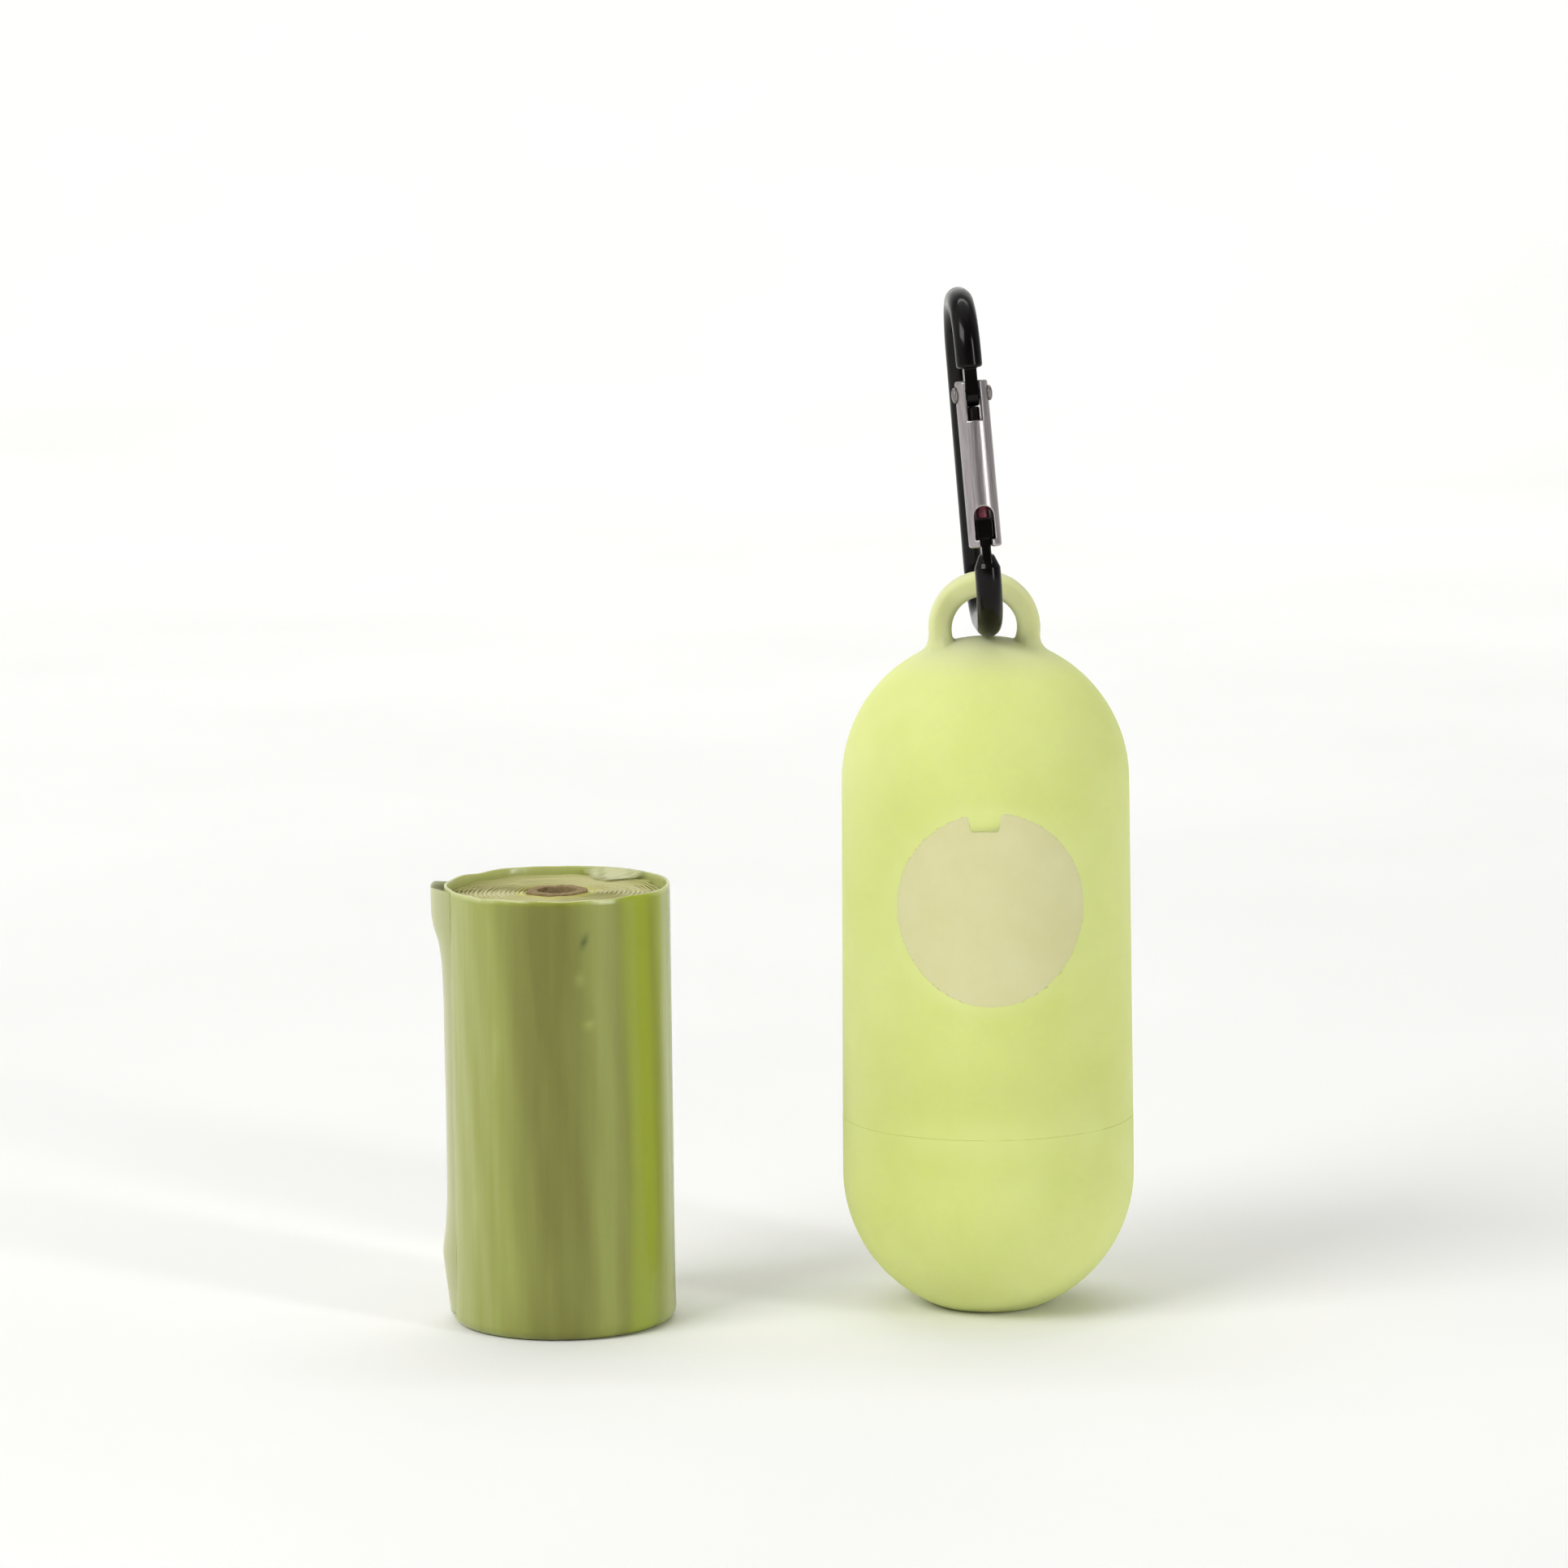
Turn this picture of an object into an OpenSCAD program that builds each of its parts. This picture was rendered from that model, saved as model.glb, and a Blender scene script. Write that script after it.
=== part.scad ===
// Bag dispenser: a two-piece soft capsule that holds a roll of bags, with a spring-gate
// clip through the ear on its dome and a refill roll standing beside it.
// Millimetres. The origin is the centre of the flat foot, +Z is up and -Y is the front.

/* [Capsule] */
// Diameter of the round lower end
body_d_low = 39.8; // [38:0.1:46]
// Diameter of the round upper end
body_d_top = 39.0; // [38:0.1:45]
// Distance between the centres of the two round ends
barrel_len = 53.9; // [50:0.1:70]
// Diameter of the flat foot
foot_d = 14; // [10:0.5:18]
// Thickness of the rubber wall
wall = 2.6; // [2.2:0.1:3]
// Thickness of the floor inside the cup
floor_t = 3; // [2:0.1:4]

/* [Parting seam] */
// Height of the seam between cup and sleeve
seam_z = 26.5; // [24:0.5:30]
// Height of the collar that the sleeve slides over
collar_h = 8; // [5:0.5:9]
// Thickness of the collar
collar_wall = 1.6; // [1.2:0.1:1.9]
// Thickness of the sleeve's skirt outside the collar
skirt_t = 1.7; // [1.4:0.1:2]
// Depth of the collar's root inside the cup, below the seam
collar_root = 3; // [2:0.5:5]
// Radial clearance between collar and skirt
collar_fit = 0.05; // [0.02:0.01:0.1]
// Hairline gap left at the seam
seam_gap = 0.1; // [0.05:0.05:0.3]

/* [Bag outlet] */
// Clearance between the bag's end and each side of the outlet slot
outlet_clear = 0.28; // [0.2:0.02:0.8]
// Height of the outlet's round top
outlet_top = 64; // [60:0.5:70]

/* [Hanging ear] */
// Outer radius of the ear
ear_r = 7.55; // [7:0.05:9]
// Thickness of the ear, front to back
ear_t = 4.2; // [3:0.1:5]
// Height of the ear's centre above the dome's top
ear_rise = 1.3; // [1:0.1:2.5]
// Radius of the hole in the ear
ear_hole_r = 4.45; // [4:0.05:4.8]
// Height of the hole's centre above the dome's top
ear_hole_rise = 1.2; // [0.6:0.1:1.3]
// Radius of the fillet where the ear meets the dome
ear_fillet = 2; // [1:0.1:3]

/* [Front disc] */
// Diameter of the disc let into the front
disc_d = 25.7; // [20:0.1:28]
// Height of the disc's centre
disc_z = 57.7; // [55:0.1:62]
// Thickness of the disc
disc_t = 1; // [0.6:0.1:1.3]
// Width of the key notch at the disc's edge
key_w = 4.4; // [3:0.1:6]
// Width of the key notch at its floor
key_floor_w = 3.7; // [2.5:0.1:5]
// Depth of the key notch
key_depth = 2.6; // [1.5:0.1:4]
// Sideways place of the key notch
key_off = -0.8; // [-2:0.1:2]
// Clearance all round the disc in its seat
disc_fit = 0.05; // [0.02:0.01:0.1]

/* [Clip frame] */
// Diameter of the wire
wire_d = 3.5; // [3:0.1:3.8]
// Height of the frame between wire centres
clip_h = 43.6; // [42:0.1:48]
// Distance of the spine's centre behind the ear's centre
spine_off = 9.5; // [9.2:0.1:12]
// Distance of the gate line in front of the ear's centre, at the bottom wire
front_off = 9.9; // [9.6:0.1:12]
// Angle of the gate line to the spine
gate_tilt = 4.7; // [2:0.1:5]
// Radius of the four bends, at the wire's centre
bend_r = 7.4; // [6.6:0.1:7.6]
// Sideways lean of the clip as it stands in the ear
lean = -4.3; // [-8:0.1:8]
// Turn of the clip about the upright
yaw = 3.2; // [-5:0.1:5]
// Sideways place of the wire in the ear's hole
clip_x = 0.3; // [-0.5:0.1:0.5]
// Gap between the wire and the floor of the ear's hole
wire_gap = 0.25; // [0.2:0.05:0.5]

/* [Gate] */
// Diameter of the gate bar
gate_d = 4.4; // [4.1:0.1:4.8]
// Distance of the gate's lower end along the gate line
gate_low = 11.3; // [11.2:0.1:12]
// Distance of the hinge rivet along the gate line
hinge_at = 31.8; // [31:0.1:32.2]
// Length of the gate above the rivet
gate_over = 1.8; // [1.6:0.1:2]
// Width of the hinge slot
hinge_slot_w = 2; // [1.9:0.05:2.2]
// Depth of the hinge slot below the rivet
hinge_slot_depth = 3.5; // [3:0.1:4.5]
// Side clearance of the tang in the hinge slot
tang_fit = 0.15; // [0.08:0.01:0.2]
// Radius of the tang's heel
heel_r = 1.65; // [1.5:0.05:1.8]
// Offset of the heel behind the rivet, which pushes the plunger down as the gate opens
heel_off = 0.5; // [0.3:0.05:0.6]
// Distance of the nose's shoulder along the gate line
nose_at = 35.3; // [35.2:0.1:36]
// Radius of the rivet's shank
rivet_r = 0.7; // [0.5:0.05:0.8]
// Radius of the rivet's heads
rivet_head_r = 1.05; // [0.95:0.05:1.3]
// Height of the rivet's heads
rivet_head_h = 0.75; // [0.5:0.05:0.9]
// Radial running clearance of the rivet in the tang
hinge_fit = 0.05; // [0.02:0.01:0.1]

/* [Latch] */
// Width of the T-shaped latch head
latch_w = 2.45; // [2.2:0.05:2.6]
// Height of the latch head
latch_h = 2.5; // [2:0.1:3]
// Distance of the latch head's underside along the gate line
latch_at = 12.5; // [12.4:0.05:12.8]
// Width of the latch's neck
neck_w = 1.25; // [1:0.05:1.4]
// Clearance round the latch in the gate
latch_fit = 0.1; // [0.06:0.01:0.15]
// Height of free room above the latch head, up to the pocket's arch
latch_room = 1.8; // [1.6:0.1:2.4]
// Depth of the latch from the gate line to its back face
latch_back = 1.1; // [0.9:0.05:1.2]
// Depth of the latch from the gate line to its front face
latch_front = 1.4; // [1.2:0.1:1.8]

/* [Gate spring] */
// Radius of the spring's bore in the gate
bore_r = 0.85; // [0.8:0.01:0.9]
// Radial clearance of plunger and stop in the bore
bore_fit = 0.03; // [0.01:0.01:0.05]
// Length of the plunger inside the bore
plunger_len = 2.8; // [2:0.1:4]
// Length of the stop inside the gate, from its lower end
stop_len = 3; // [2:0.1:4]
// Thickness of the spring's wire
spring_wire = 0.26; // [0.2:0.02:0.3]
// Number of turns in the spring
spring_turns = 9; // [6:1:12]

/* [Bag rolls] */
// Length of a full roll, over its outer wrap
roll_len = 60; // [56:0.5:62]
// Diameter of the refill roll
refill_d = 30.7; // [26:0.1:32]
// Diameter of the roll in use
loaded_d = 28; // [24:0.1:30]
// Outer diameter of the paper core
core_d = 8.2; // [6:0.1:12]
// Thickness of the core's wall
core_wall = 1.4; // [0.8:0.1:1.8]
// Thickness of the refill's loose outer wrap
wrap_t = 0.4; // [0.3:0.05:0.6]
// Radius of the wrap's tucked-in lower edge
tuck_r = 1.75; // [1.2:0.05:2.5]
// Width of the wrap's fold under the roll
tuck_w = 1; // [0.6:0.1:2]
// Height of the wrap's rim above the wound film
rim_h = 1.2; // [0.6:0.1:2]
// Height of the core's ends above the wound film
core_proud = 0.3; // [0.1:0.1:0.5]
// Clearance between one layer of a roll and the next
layer_gap = 0.05; // [0.02:0.01:0.1]
// Gap under the roll in use, where it sits in the cup
seat_gap = 0.3; // [0.2:0.05:0.5]
// Sideways place of the refill roll
refill_x = -58.2; // [-80:0.1:-45]
// Place of the refill roll towards the back
refill_y = -6.3; // [-20:0.1:10]

/* [Bag film] */
// Thickness of the gathered end of the bag
tail_t = 0.5; // [0.4:0.1:0.7]
// Height of the gathered end of the bag
tail_h = 19; // [12:0.5:20]
// Height of its lower edge above the collar
tail_above = 2.5; // [1:0.5:3]
// Length of the bag's end outside the outlet
tail_out = 14; // [8:0.5:25]
// Gap between the bag's end and the roll it leaves
tail_gap = 0.3; // [0.2:0.05:0.4]
// Height of the refill's loose flap
flap_h = 11.5; // [6:0.5:20]
// Distance that the flap's top edge stands off
flap_lift = 1.6; // [0.6:0.1:3]
// Thickness of the flap
flap_t = 0.3; // [0.25:0.05:0.4]
// Angle that the flap spans round the roll
flap_span = 40; // [20:1:70]
// Direction of the flap's middle, seen from above
flap_dir = 180; // [120:1:240]

/* [Hidden] */
$fn = 72;

// Colours
lime = [0.85, 0.88, 0.55];
cream = [0.86, 0.84, 0.66];
black = [0.08, 0.07, 0.08];
bare_metal = [0.66, 0.64, 0.64];
crimson = [0.42, 0.10, 0.18];
kraft = [0.67, 0.59, 0.44];
film_green = [0.60, 0.64, 0.30];
film_pale = [0.75, 0.78, 0.55];
end_grey = [0.66, 0.62, 0.50];

// A cut reaches this far past the faces it opens
past = 1;

// Capsule: centres of its round ends, slope of its barrel, height of its dome
low_r = body_d_low / 2;
top_r = body_d_top / 2;
low_z = sqrt(low_r * low_r - foot_d * foot_d / 4);
top_z = low_z + barrel_len;
taper = asin((low_r - top_r) / barrel_len);
dome_z = top_z + top_r;
// Outer radius of the barrel at a height
function barrel_r(z) = (low_r - (z - low_z) * sin(taper)) / cos(taper);
collar_r = barrel_r(seam_z) - skirt_t;
collar_top = seam_z + collar_h;
collar_end_gap = 0.3;

// Ear and its hole
ear_z = dome_z + ear_rise;
ear_hole_z = dome_z + ear_hole_rise;
fillet_x = ear_r + ear_fillet;
fillet_z = top_z + sqrt(pow(top_r + ear_fillet, 2) - fillet_x * fillet_x);
fillet_share = top_r / (top_r + ear_fillet);

// Clip: height of the pivot wire, centres of the front bends, ends of their arcs
wire_r = wire_d / 2;
// The straights run into the bends, a hair thinner so that the surfaces don't graze
splice = 0.3;
splice_step = 0.02;
straight_r = wire_r - splice_step;
pivot_z = dome_z + wire_gap + wire_r;
back_y = spine_off - bend_r;
top_front_y = (bend_r + (clip_h - bend_r) * sin(gate_tilt)) / cos(gate_tilt) - front_off;
low_front_y = bend_r * (1 + sin(gate_tilt)) / cos(gate_tilt) - front_off;
stub_start = (low_front_y + front_off) * sin(gate_tilt) + bend_r * cos(gate_tilt);
nose_start = (top_front_y + front_off) * sin(gate_tilt) + (clip_h - bend_r) * cos(gate_tilt);

// Gate and latch, along the gate line
gate_top = hinge_at + gate_over;
gate_chamfer = 0.3;
slot_floor = hinge_at - hinge_slot_depth;
tang_t = hinge_slot_w - 2 * tang_fit;
tang_front = heel_r - heel_off;
tang_inset = 0.1;
tang_back = wire_r - tang_inset;
rivet_seat = 0.01;
head_sink = 0.2;
head_seat_x = gate_d / 2 - head_sink;
head_clear = 0.1;
shoulder_h = 0.6;
shoulder_w = 0.4;
latch_top = latch_at + latch_h;
lip_gap = 0.15;
lip_fit = 0.2;
pocket_half = latch_w / 2 + latch_fit;
pocket_back = latch_back + latch_fit;
arch_z = latch_top + latch_room - pocket_half;
lip_top = latch_at - lip_gap;
lip_half = neck_w / 2 + lip_fit;
neck_base_r = 1;
neck_root = 1;
neck_front = 1.2;
cone_rise = 0.4;
cone_gap = 1;
cone_start = stub_start + cone_rise;
cone_top = gate_low - cone_gap;

// Spring stack in the gate's bore
touch_gap = 0.04;
stop_set = 0.2;
stop_low = latch_top + stop_set;
stop_top = stop_low + stop_len;
plunger_top = hinge_at - heel_r - touch_gap;
plunger_low = slot_floor - plunger_len;
spring_fit = 0.07;
spring_r = bore_r - spring_fit - spring_wire / 2;
spring_low = stop_top + touch_gap + spring_wire / 2;
spring_high = plunger_low - touch_gap - spring_wire / 2;
RING_SIDES = 6;
TURN_STEPS = 14;

// Rolls
core_r = core_d / 2;
loaded_r = loaded_d / 2;
wound_len = roll_len - 2 * rim_h;
edge_chamfer = 0.5;
loaded_low = low_z - sqrt(pow(low_r - wall, 2) - loaded_r * loaded_r) + seat_gap;
refill_r = refill_d / 2;
wound_r = refill_r - wrap_t - layer_gap;
tuck_chamfer = 0.8;

// Bag's end: its plane is tangent to the roll and meets the middle of the outlet
tail_r = loaded_r + tail_gap + tail_t / 2;
tail_z = collar_top + tail_above;
outlet_y = barrel_r(tail_z + tail_h / 2) - wall / 2;
tail_turn = acos(tail_r / outlet_y);
tail_in = sqrt(outlet_y * outlet_y - tail_r * tail_r);

// Outlet: the bag's end crosses the tapered wall slantwise and clears both sides of the slot
outlet_reach = wall / 2 + abs(barrel_r(tail_z) - barrel_r(tail_z + tail_h)) / 2;
outlet_w = 2 * (outlet_reach / tan(tail_turn) + tail_t / 2 / sin(tail_turn) + outlet_clear);

// ---------------------------------------------------------------- capsule

// Right half of the capsule's outline, moved inwards by inset
module capsule_half(inset) {
    low = low_r - inset;
    top = top_r - inset;
    intersection() {
        union() {
            translate([0, low_z]) circle(low);
            translate([0, top_z]) circle(top);
            polygon([[0, low_z],
                     [low * cos(taper), low_z + low * sin(taper)],
                     [top * cos(taper), top_z + top * sin(taper)],
                     [0, top_z]]);
        }
        square([low_r + past, dome_z + past]);
    }
}

// Band of the half outline between two heights
module level(z_low, z_high) {
    translate([0, z_low]) square([low_r + past, z_high - z_low]);
}

// Lower cup with its collar
module bottom_cup() {
    color(lime) rotate_extrude() {
        difference() {
            intersection() {
                capsule_half(0);
                level(0, seam_z - seam_gap);
            }
            intersection() {
                capsule_half(wall);
                level(floor_t, dome_z);
            }
        }
        translate([collar_r - collar_wall, seam_z - collar_root])
            square([collar_wall, collar_root + collar_h]);
    }
}

// Outline of the ear with its hole and the fillets at its foot
module ear_outline() {
    difference() {
        union() {
            translate([0, ear_z]) circle(ear_r);
            translate([-ear_r, top_z]) square([2 * ear_r, ear_z - top_z]);
            for (side = [-1, 1]) scale_x(side) difference() {
                polygon([[0, top_z],
                         [fillet_x * fillet_share, top_z + (fillet_z - top_z) * fillet_share],
                         [fillet_x, fillet_z],
                         [0, fillet_z]]);
                translate([fillet_x, fillet_z]) circle(ear_fillet);
            }
        }
        translate([0, ear_hole_z]) circle(ear_hole_r);
    }
}

// Mirrors its child to the other side where side is -1
module scale_x(side) {
    mirror([side < 0 ? 1 : 0, 0]) children();
}

// Front disc's outline, drawn from the front, with its key notch; grow widens it
module disc_outline(grow) {
    floor_at = disc_d / 2 - key_depth + grow;
    difference() {
        circle(disc_d / 2 + grow);
        translate([key_off, 0])
            polygon([[-key_floor_w / 2 + grow, floor_at],
                     [key_floor_w / 2 - grow, floor_at],
                     [key_w / 2 - grow, disc_d / 2 + past],
                     [-key_w / 2 + grow, disc_d / 2 + past]]);
    }
}

// Layer of the front wall between two depths, cut to the disc's outline
module disc_layer(grow, outer, inner) {
    intersection() {
        translate([0, 0, disc_z]) rotate([90, 0, 0])
            linear_extrude(height = low_r + past) disc_outline(grow);
        rotate_extrude() difference() {
            capsule_half(outer);
            capsule_half(inner);
        }
    }
}

// Outlet slot, open at the sleeve's rim so that the sleeve lifts past the bag's end
module outlet_cut() {
    radius = outlet_w / 2;
    translate([-radius, 0, seam_z - past])
        cube([outlet_w, low_r + past, outlet_top - radius - seam_z + past]);
    translate([0, 0, outlet_top - radius]) rotate([-90, 0, 0])
        cylinder(r = radius, h = low_r + past);
}

// Upper sleeve with dome, ear, outlet and the disc's seat
module sleeve_shell() {
    color(lime) difference() {
        union() {
            rotate_extrude() intersection() {
                capsule_half(0);
                level(seam_z, dome_z + past);
            }
            translate([0, ear_t / 2, 0]) rotate([90, 0, 0])
                linear_extrude(height = ear_t) ear_outline();
        }
        rotate_extrude() intersection() {
            capsule_half(wall);
            level(seam_z - past, dome_z);
        }
        translate([0, 0, seam_z - past])
            cylinder(r = collar_r + collar_fit, h = collar_h + past + collar_end_gap);
        outlet_cut();
        disc_layer(disc_fit, -past, disc_t + disc_fit);
    }
}

// Pale disc, flush in the sleeve's front
module front_disc() {
    color(cream) disc_layer(0, 0, disc_t);
}

// ---------------------------------------------------------------- clip

// Places the clip's own frame: origin on the pivot wire, +Z up the clip, -Y to the gate
module clip_place() {
    translate([clip_x, 0, pivot_z]) rotate([0, 0, yaw]) rotate([0, lean, 0]) children();
}

// Places the gate line: origin at its foot, +Z along the line
module on_gate_line() {
    clip_place() translate([0, -front_off, 0]) rotate([-gate_tilt, 0, 0]) children();
}

// One bend of the wire about a centre, from a start angle seen from +X
module bend(y, z, start, sweep) {
    translate([0, y, z]) rotate([90, 0, 90]) rotate([0, 0, start])
        rotate_extrude(angle = sweep) translate([bend_r, 0]) circle(wire_r);
}

// Straight stretch between two bends, along +Z, which runs a little way into both
module straight(length) {
    translate([0, 0, -splice]) cylinder(r = straight_r, h = length + 2 * splice);
}

// Plate across the gate line, given its outline from the side
module side_plate(thickness) {
    rotate([90, 0, 90]) translate([0, 0, -thickness / 2])
        linear_extrude(height = thickness) children();
}

// Hinge tang below the nose, with its offset heel and the rivet's hole
module tang() {
    side_plate(tang_t) difference() {
        union() {
            translate([-tang_front, hinge_at])
                square([tang_front + tang_back, nose_at + shoulder_h - hinge_at]);
            translate([heel_off, hinge_at]) circle(heel_r);
        }
        translate([0, hinge_at]) circle(rivet_r + hinge_fit);
    }
}

// T-shaped latch on the stub
module latch() {
    translate([-neck_w / 2, -neck_front, cone_top - neck_root])
        cube([neck_w, neck_front + latch_back, latch_at - cone_top + neck_root + latch_h / 2]);
    translate([-latch_w / 2, -latch_front, latch_at])
        cube([latch_w, latch_front + latch_back, latch_h]);
}

// Bent wire frame with its hinge tang and latch
module carabiner_frame() {
    color(black) {
        clip_place() {
            bend(back_y, bend_r, -90, 90);
            bend(back_y, clip_h - bend_r, 0, 90);
            bend(top_front_y, clip_h - bend_r, 90, 90 - gate_tilt);
            bend(low_front_y, bend_r, 180 - gate_tilt, 90 + gate_tilt);
            translate([0, spine_off, bend_r]) straight(clip_h - 2 * bend_r);
            translate([0, low_front_y, 0]) rotate([-90, 0, 0]) straight(back_y - low_front_y);
            translate([0, top_front_y, clip_h]) rotate([-90, 0, 0])
                straight(back_y - top_front_y);
        }
        on_gate_line() {
            translate([0, 0, nose_at + shoulder_h])
                cylinder(r = straight_r, h = nose_start - nose_at - shoulder_h + splice);
            translate([0, 0, nose_at])
                cylinder(r1 = straight_r - shoulder_w, r2 = straight_r, h = shoulder_h);
            translate([0, 0, stub_start - splice])
                cylinder(r = straight_r, h = cone_start - stub_start + splice);
            translate([0, 0, cone_start])
                cylinder(r1 = straight_r, r2 = neck_base_r, h = cone_top - cone_start);
            tang();
            latch();
        }
    }
}

// Gate bar with hinge slot, latch pocket and spring bore
module carabiner_gate() {
    color(bare_metal) on_gate_line() difference() {
        translate([0, 0, gate_low]) rotate_extrude()
            polygon([[0, 0],
                     [gate_d / 2 - gate_chamfer, 0],
                     [gate_d / 2, gate_chamfer],
                     [gate_d / 2, gate_top - gate_low - gate_chamfer],
                     [gate_d / 2 - gate_chamfer, gate_top - gate_low],
                     [0, gate_top - gate_low]]);
        translate([-hinge_slot_w / 2, -gate_d, slot_floor])
            cube([hinge_slot_w, 2 * gate_d, gate_top - slot_floor + past]);
        translate([-gate_d, 0, hinge_at]) rotate([0, 90, 0])
            cylinder(r = rivet_r + rivet_seat, h = 2 * gate_d);
        for (side = [-1, 1]) translate([side * head_seat_x, 0, hinge_at])
            rotate([0, side * 90, 0]) cylinder(r = rivet_head_r + head_clear, h = past);
        translate([0, 0, latch_top]) cylinder(r = bore_r, h = slot_floor - latch_top + past);
        translate([-pocket_half, -gate_d, lip_top])
            cube([2 * pocket_half, gate_d + pocket_back, arch_z - lip_top]);
        translate([0, -gate_d, arch_z]) rotate([-90, 0, 0])
            cylinder(r = pocket_half, h = gate_d + pocket_back);
        translate([-lip_half, -gate_d, gate_low - past])
            cube([2 * lip_half, gate_d + pocket_back, lip_top - gate_low + 2 * past]);
    }
}

// Hinge rivet with a domed head on each side
module hinge_rivet() {
    edge_h = rivet_head_h / 2;
    cap_h = rivet_head_h - edge_h;
    cap_r = (rivet_head_r * rivet_head_r + cap_h * cap_h) / (2 * cap_h);
    color(bare_metal) on_gate_line() translate([0, 0, hinge_at]) {
        translate([-head_seat_x, 0, 0]) rotate([0, 90, 0])
            cylinder(r = rivet_r, h = 2 * head_seat_x);
        for (side = [-1, 1]) translate([side * head_seat_x, 0, 0]) rotate([0, side * 90, 0])
            rotate_extrude() {
                square([rivet_head_r, edge_h]);
                intersection() {
                    translate([0, rivet_head_h - cap_r]) circle(cap_r);
                    translate([0, edge_h]) square([rivet_head_r, cap_h]);
                }
            }
    }
}

// Plunger that bears on the tang's heel
module gate_plunger() {
    color(black) on_gate_line() translate([0, 0, plunger_low])
        cylinder(r = bore_r - bore_fit, h = plunger_top - plunger_low);
}

// Stop that closes the spring's bore above the latch
module spring_stop() {
    color(crimson) on_gate_line() translate([0, 0, stop_low])
        cylinder(r = bore_r - bore_fit, h = stop_len);
}

// Point k of the ring at step i along the spring's coil
function coil_point(i, k) =
    let (turn = 360 * i / TURN_STEPS,
         out = spring_wire / 2 * cos(360 * k / RING_SIDES),
         up = spring_wire / 2 * sin(360 * k / RING_SIDES),
         rise = (spring_high - spring_low) * i / (spring_turns * TURN_STEPS))
    [(spring_r + out) * cos(turn), (spring_r + out) * sin(turn), spring_low + rise + up];

// Compression spring between stop and plunger
module gate_spring() {
    steps = spring_turns * TURN_STEPS;
    points = [for (i = [0:steps], k = [0:RING_SIDES - 1]) coil_point(i, k)];
    sides = [for (i = [0:steps - 1], k = [0:RING_SIDES - 1])
        let (a = i * RING_SIDES + k, b = i * RING_SIDES + (k + 1) % RING_SIDES)
        [a, a + RING_SIDES, b + RING_SIDES, b]];
    start = [[for (k = [0:RING_SIDES - 1]) k]];
    end = [[for (k = [RING_SIDES - 1:-1:0]) steps * RING_SIDES + k]];
    color(bare_metal) on_gate_line()
        polyhedron(points = points, faces = concat(start, sides, end));
}

// ---------------------------------------------------------------- rolls

// Paper core standing at a height
module core_tube(z, length) {
    translate([0, 0, z]) difference() {
        cylinder(r = core_r, h = length);
        translate([0, 0, -past]) cylinder(r = core_r - core_wall, h = length + 2 * past);
    }
}

// Wound film as a thick ring, with its edges broken
module wound_film(z, radius, length, chamfer) {
    translate([0, 0, z]) rotate_extrude()
        polygon([[core_r + layer_gap, 0],
                 [radius - chamfer, 0],
                 [radius, chamfer],
                 [radius, length - edge_chamfer],
                 [radius - edge_chamfer, length],
                 [core_r + layer_gap, length]]);
}

module loaded_core() {
    color(kraft) core_tube(loaded_low - core_proud, wound_len + 2 * core_proud);
}

module loaded_windings() {
    color(film_green) wound_film(loaded_low, loaded_r, wound_len, edge_chamfer);
}

// Gathered end of the bag, from the roll out through the outlet
module bag_tail() {
    color(film_pale) rotate([0, 0, -tail_turn])
        translate([-tail_in - tail_out, tail_r - tail_t / 2, tail_z])
            cube([tail_in + tail_out, tail_t, tail_h]);
}

// Places what belongs to the refill roll
module refill_place() {
    translate([refill_x, refill_y, 0]) children();
}

module refill_core() {
    color(kraft) refill_place() core_tube(rim_h - core_proud, wound_len + 2 * core_proud);
}

module refill_windings() {
    color(end_grey) refill_place() wound_film(rim_h, wound_r, wound_len, tuck_chamfer);
}

// Half outline of the wrap's block, moved inwards by inset
module wrap_half(inset) {
    radius = refill_r - inset;
    corner = tuck_r - inset;
    translate([0, tuck_r]) square([radius, roll_len - tuck_r]);
    translate([0, inset]) square([radius - corner, tuck_r]);
    intersection() {
        translate([radius - corner, tuck_r]) circle(corner);
        square([radius, roll_len]);
    }
}

// Loose outer wrap of film, tucked in under the roll
module refill_outer_wrap() {
    color(film_green) refill_place() rotate_extrude() difference() {
        wrap_half(0);
        wrap_half(wrap_t);
        translate([0, -past]) square([refill_r - tuck_r - tuck_w, tuck_r]);
    }
}

// Flap of film that stands off the wrap at the side
module refill_loose_end() {
    near = refill_r + layer_gap;
    color(film_pale) refill_place() translate([0, 0, roll_len - flap_h])
        rotate([0, 0, flap_dir - flap_span / 2]) rotate_extrude(angle = flap_span)
            polygon([[near, 0],
                     [near + flap_t, 0],
                     [near + flap_t + flap_lift, flap_h],
                     [near + flap_lift, flap_h]]);
}

bottom_cup();
sleeve_shell();
front_disc();
carabiner_frame();
carabiner_gate();
hinge_rivet();
gate_plunger();
gate_spring();
spring_stop();
loaded_core();
loaded_windings();
bag_tail();
refill_core();
refill_windings();
refill_outer_wrap();
refill_loose_end();
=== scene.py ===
"""Dog bag dispenser: soft two-part capsule, spring-gate clip and a refill roll beside it.

Sizes are in millimetres inside the builders and turn to metres when a mesh is made.
"""

import logging
import math
from dataclasses import dataclass
from enum import Enum
from typing import Callable

import bmesh
import bpy
import numpy as np
from mathutils import Matrix, Vector

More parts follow.
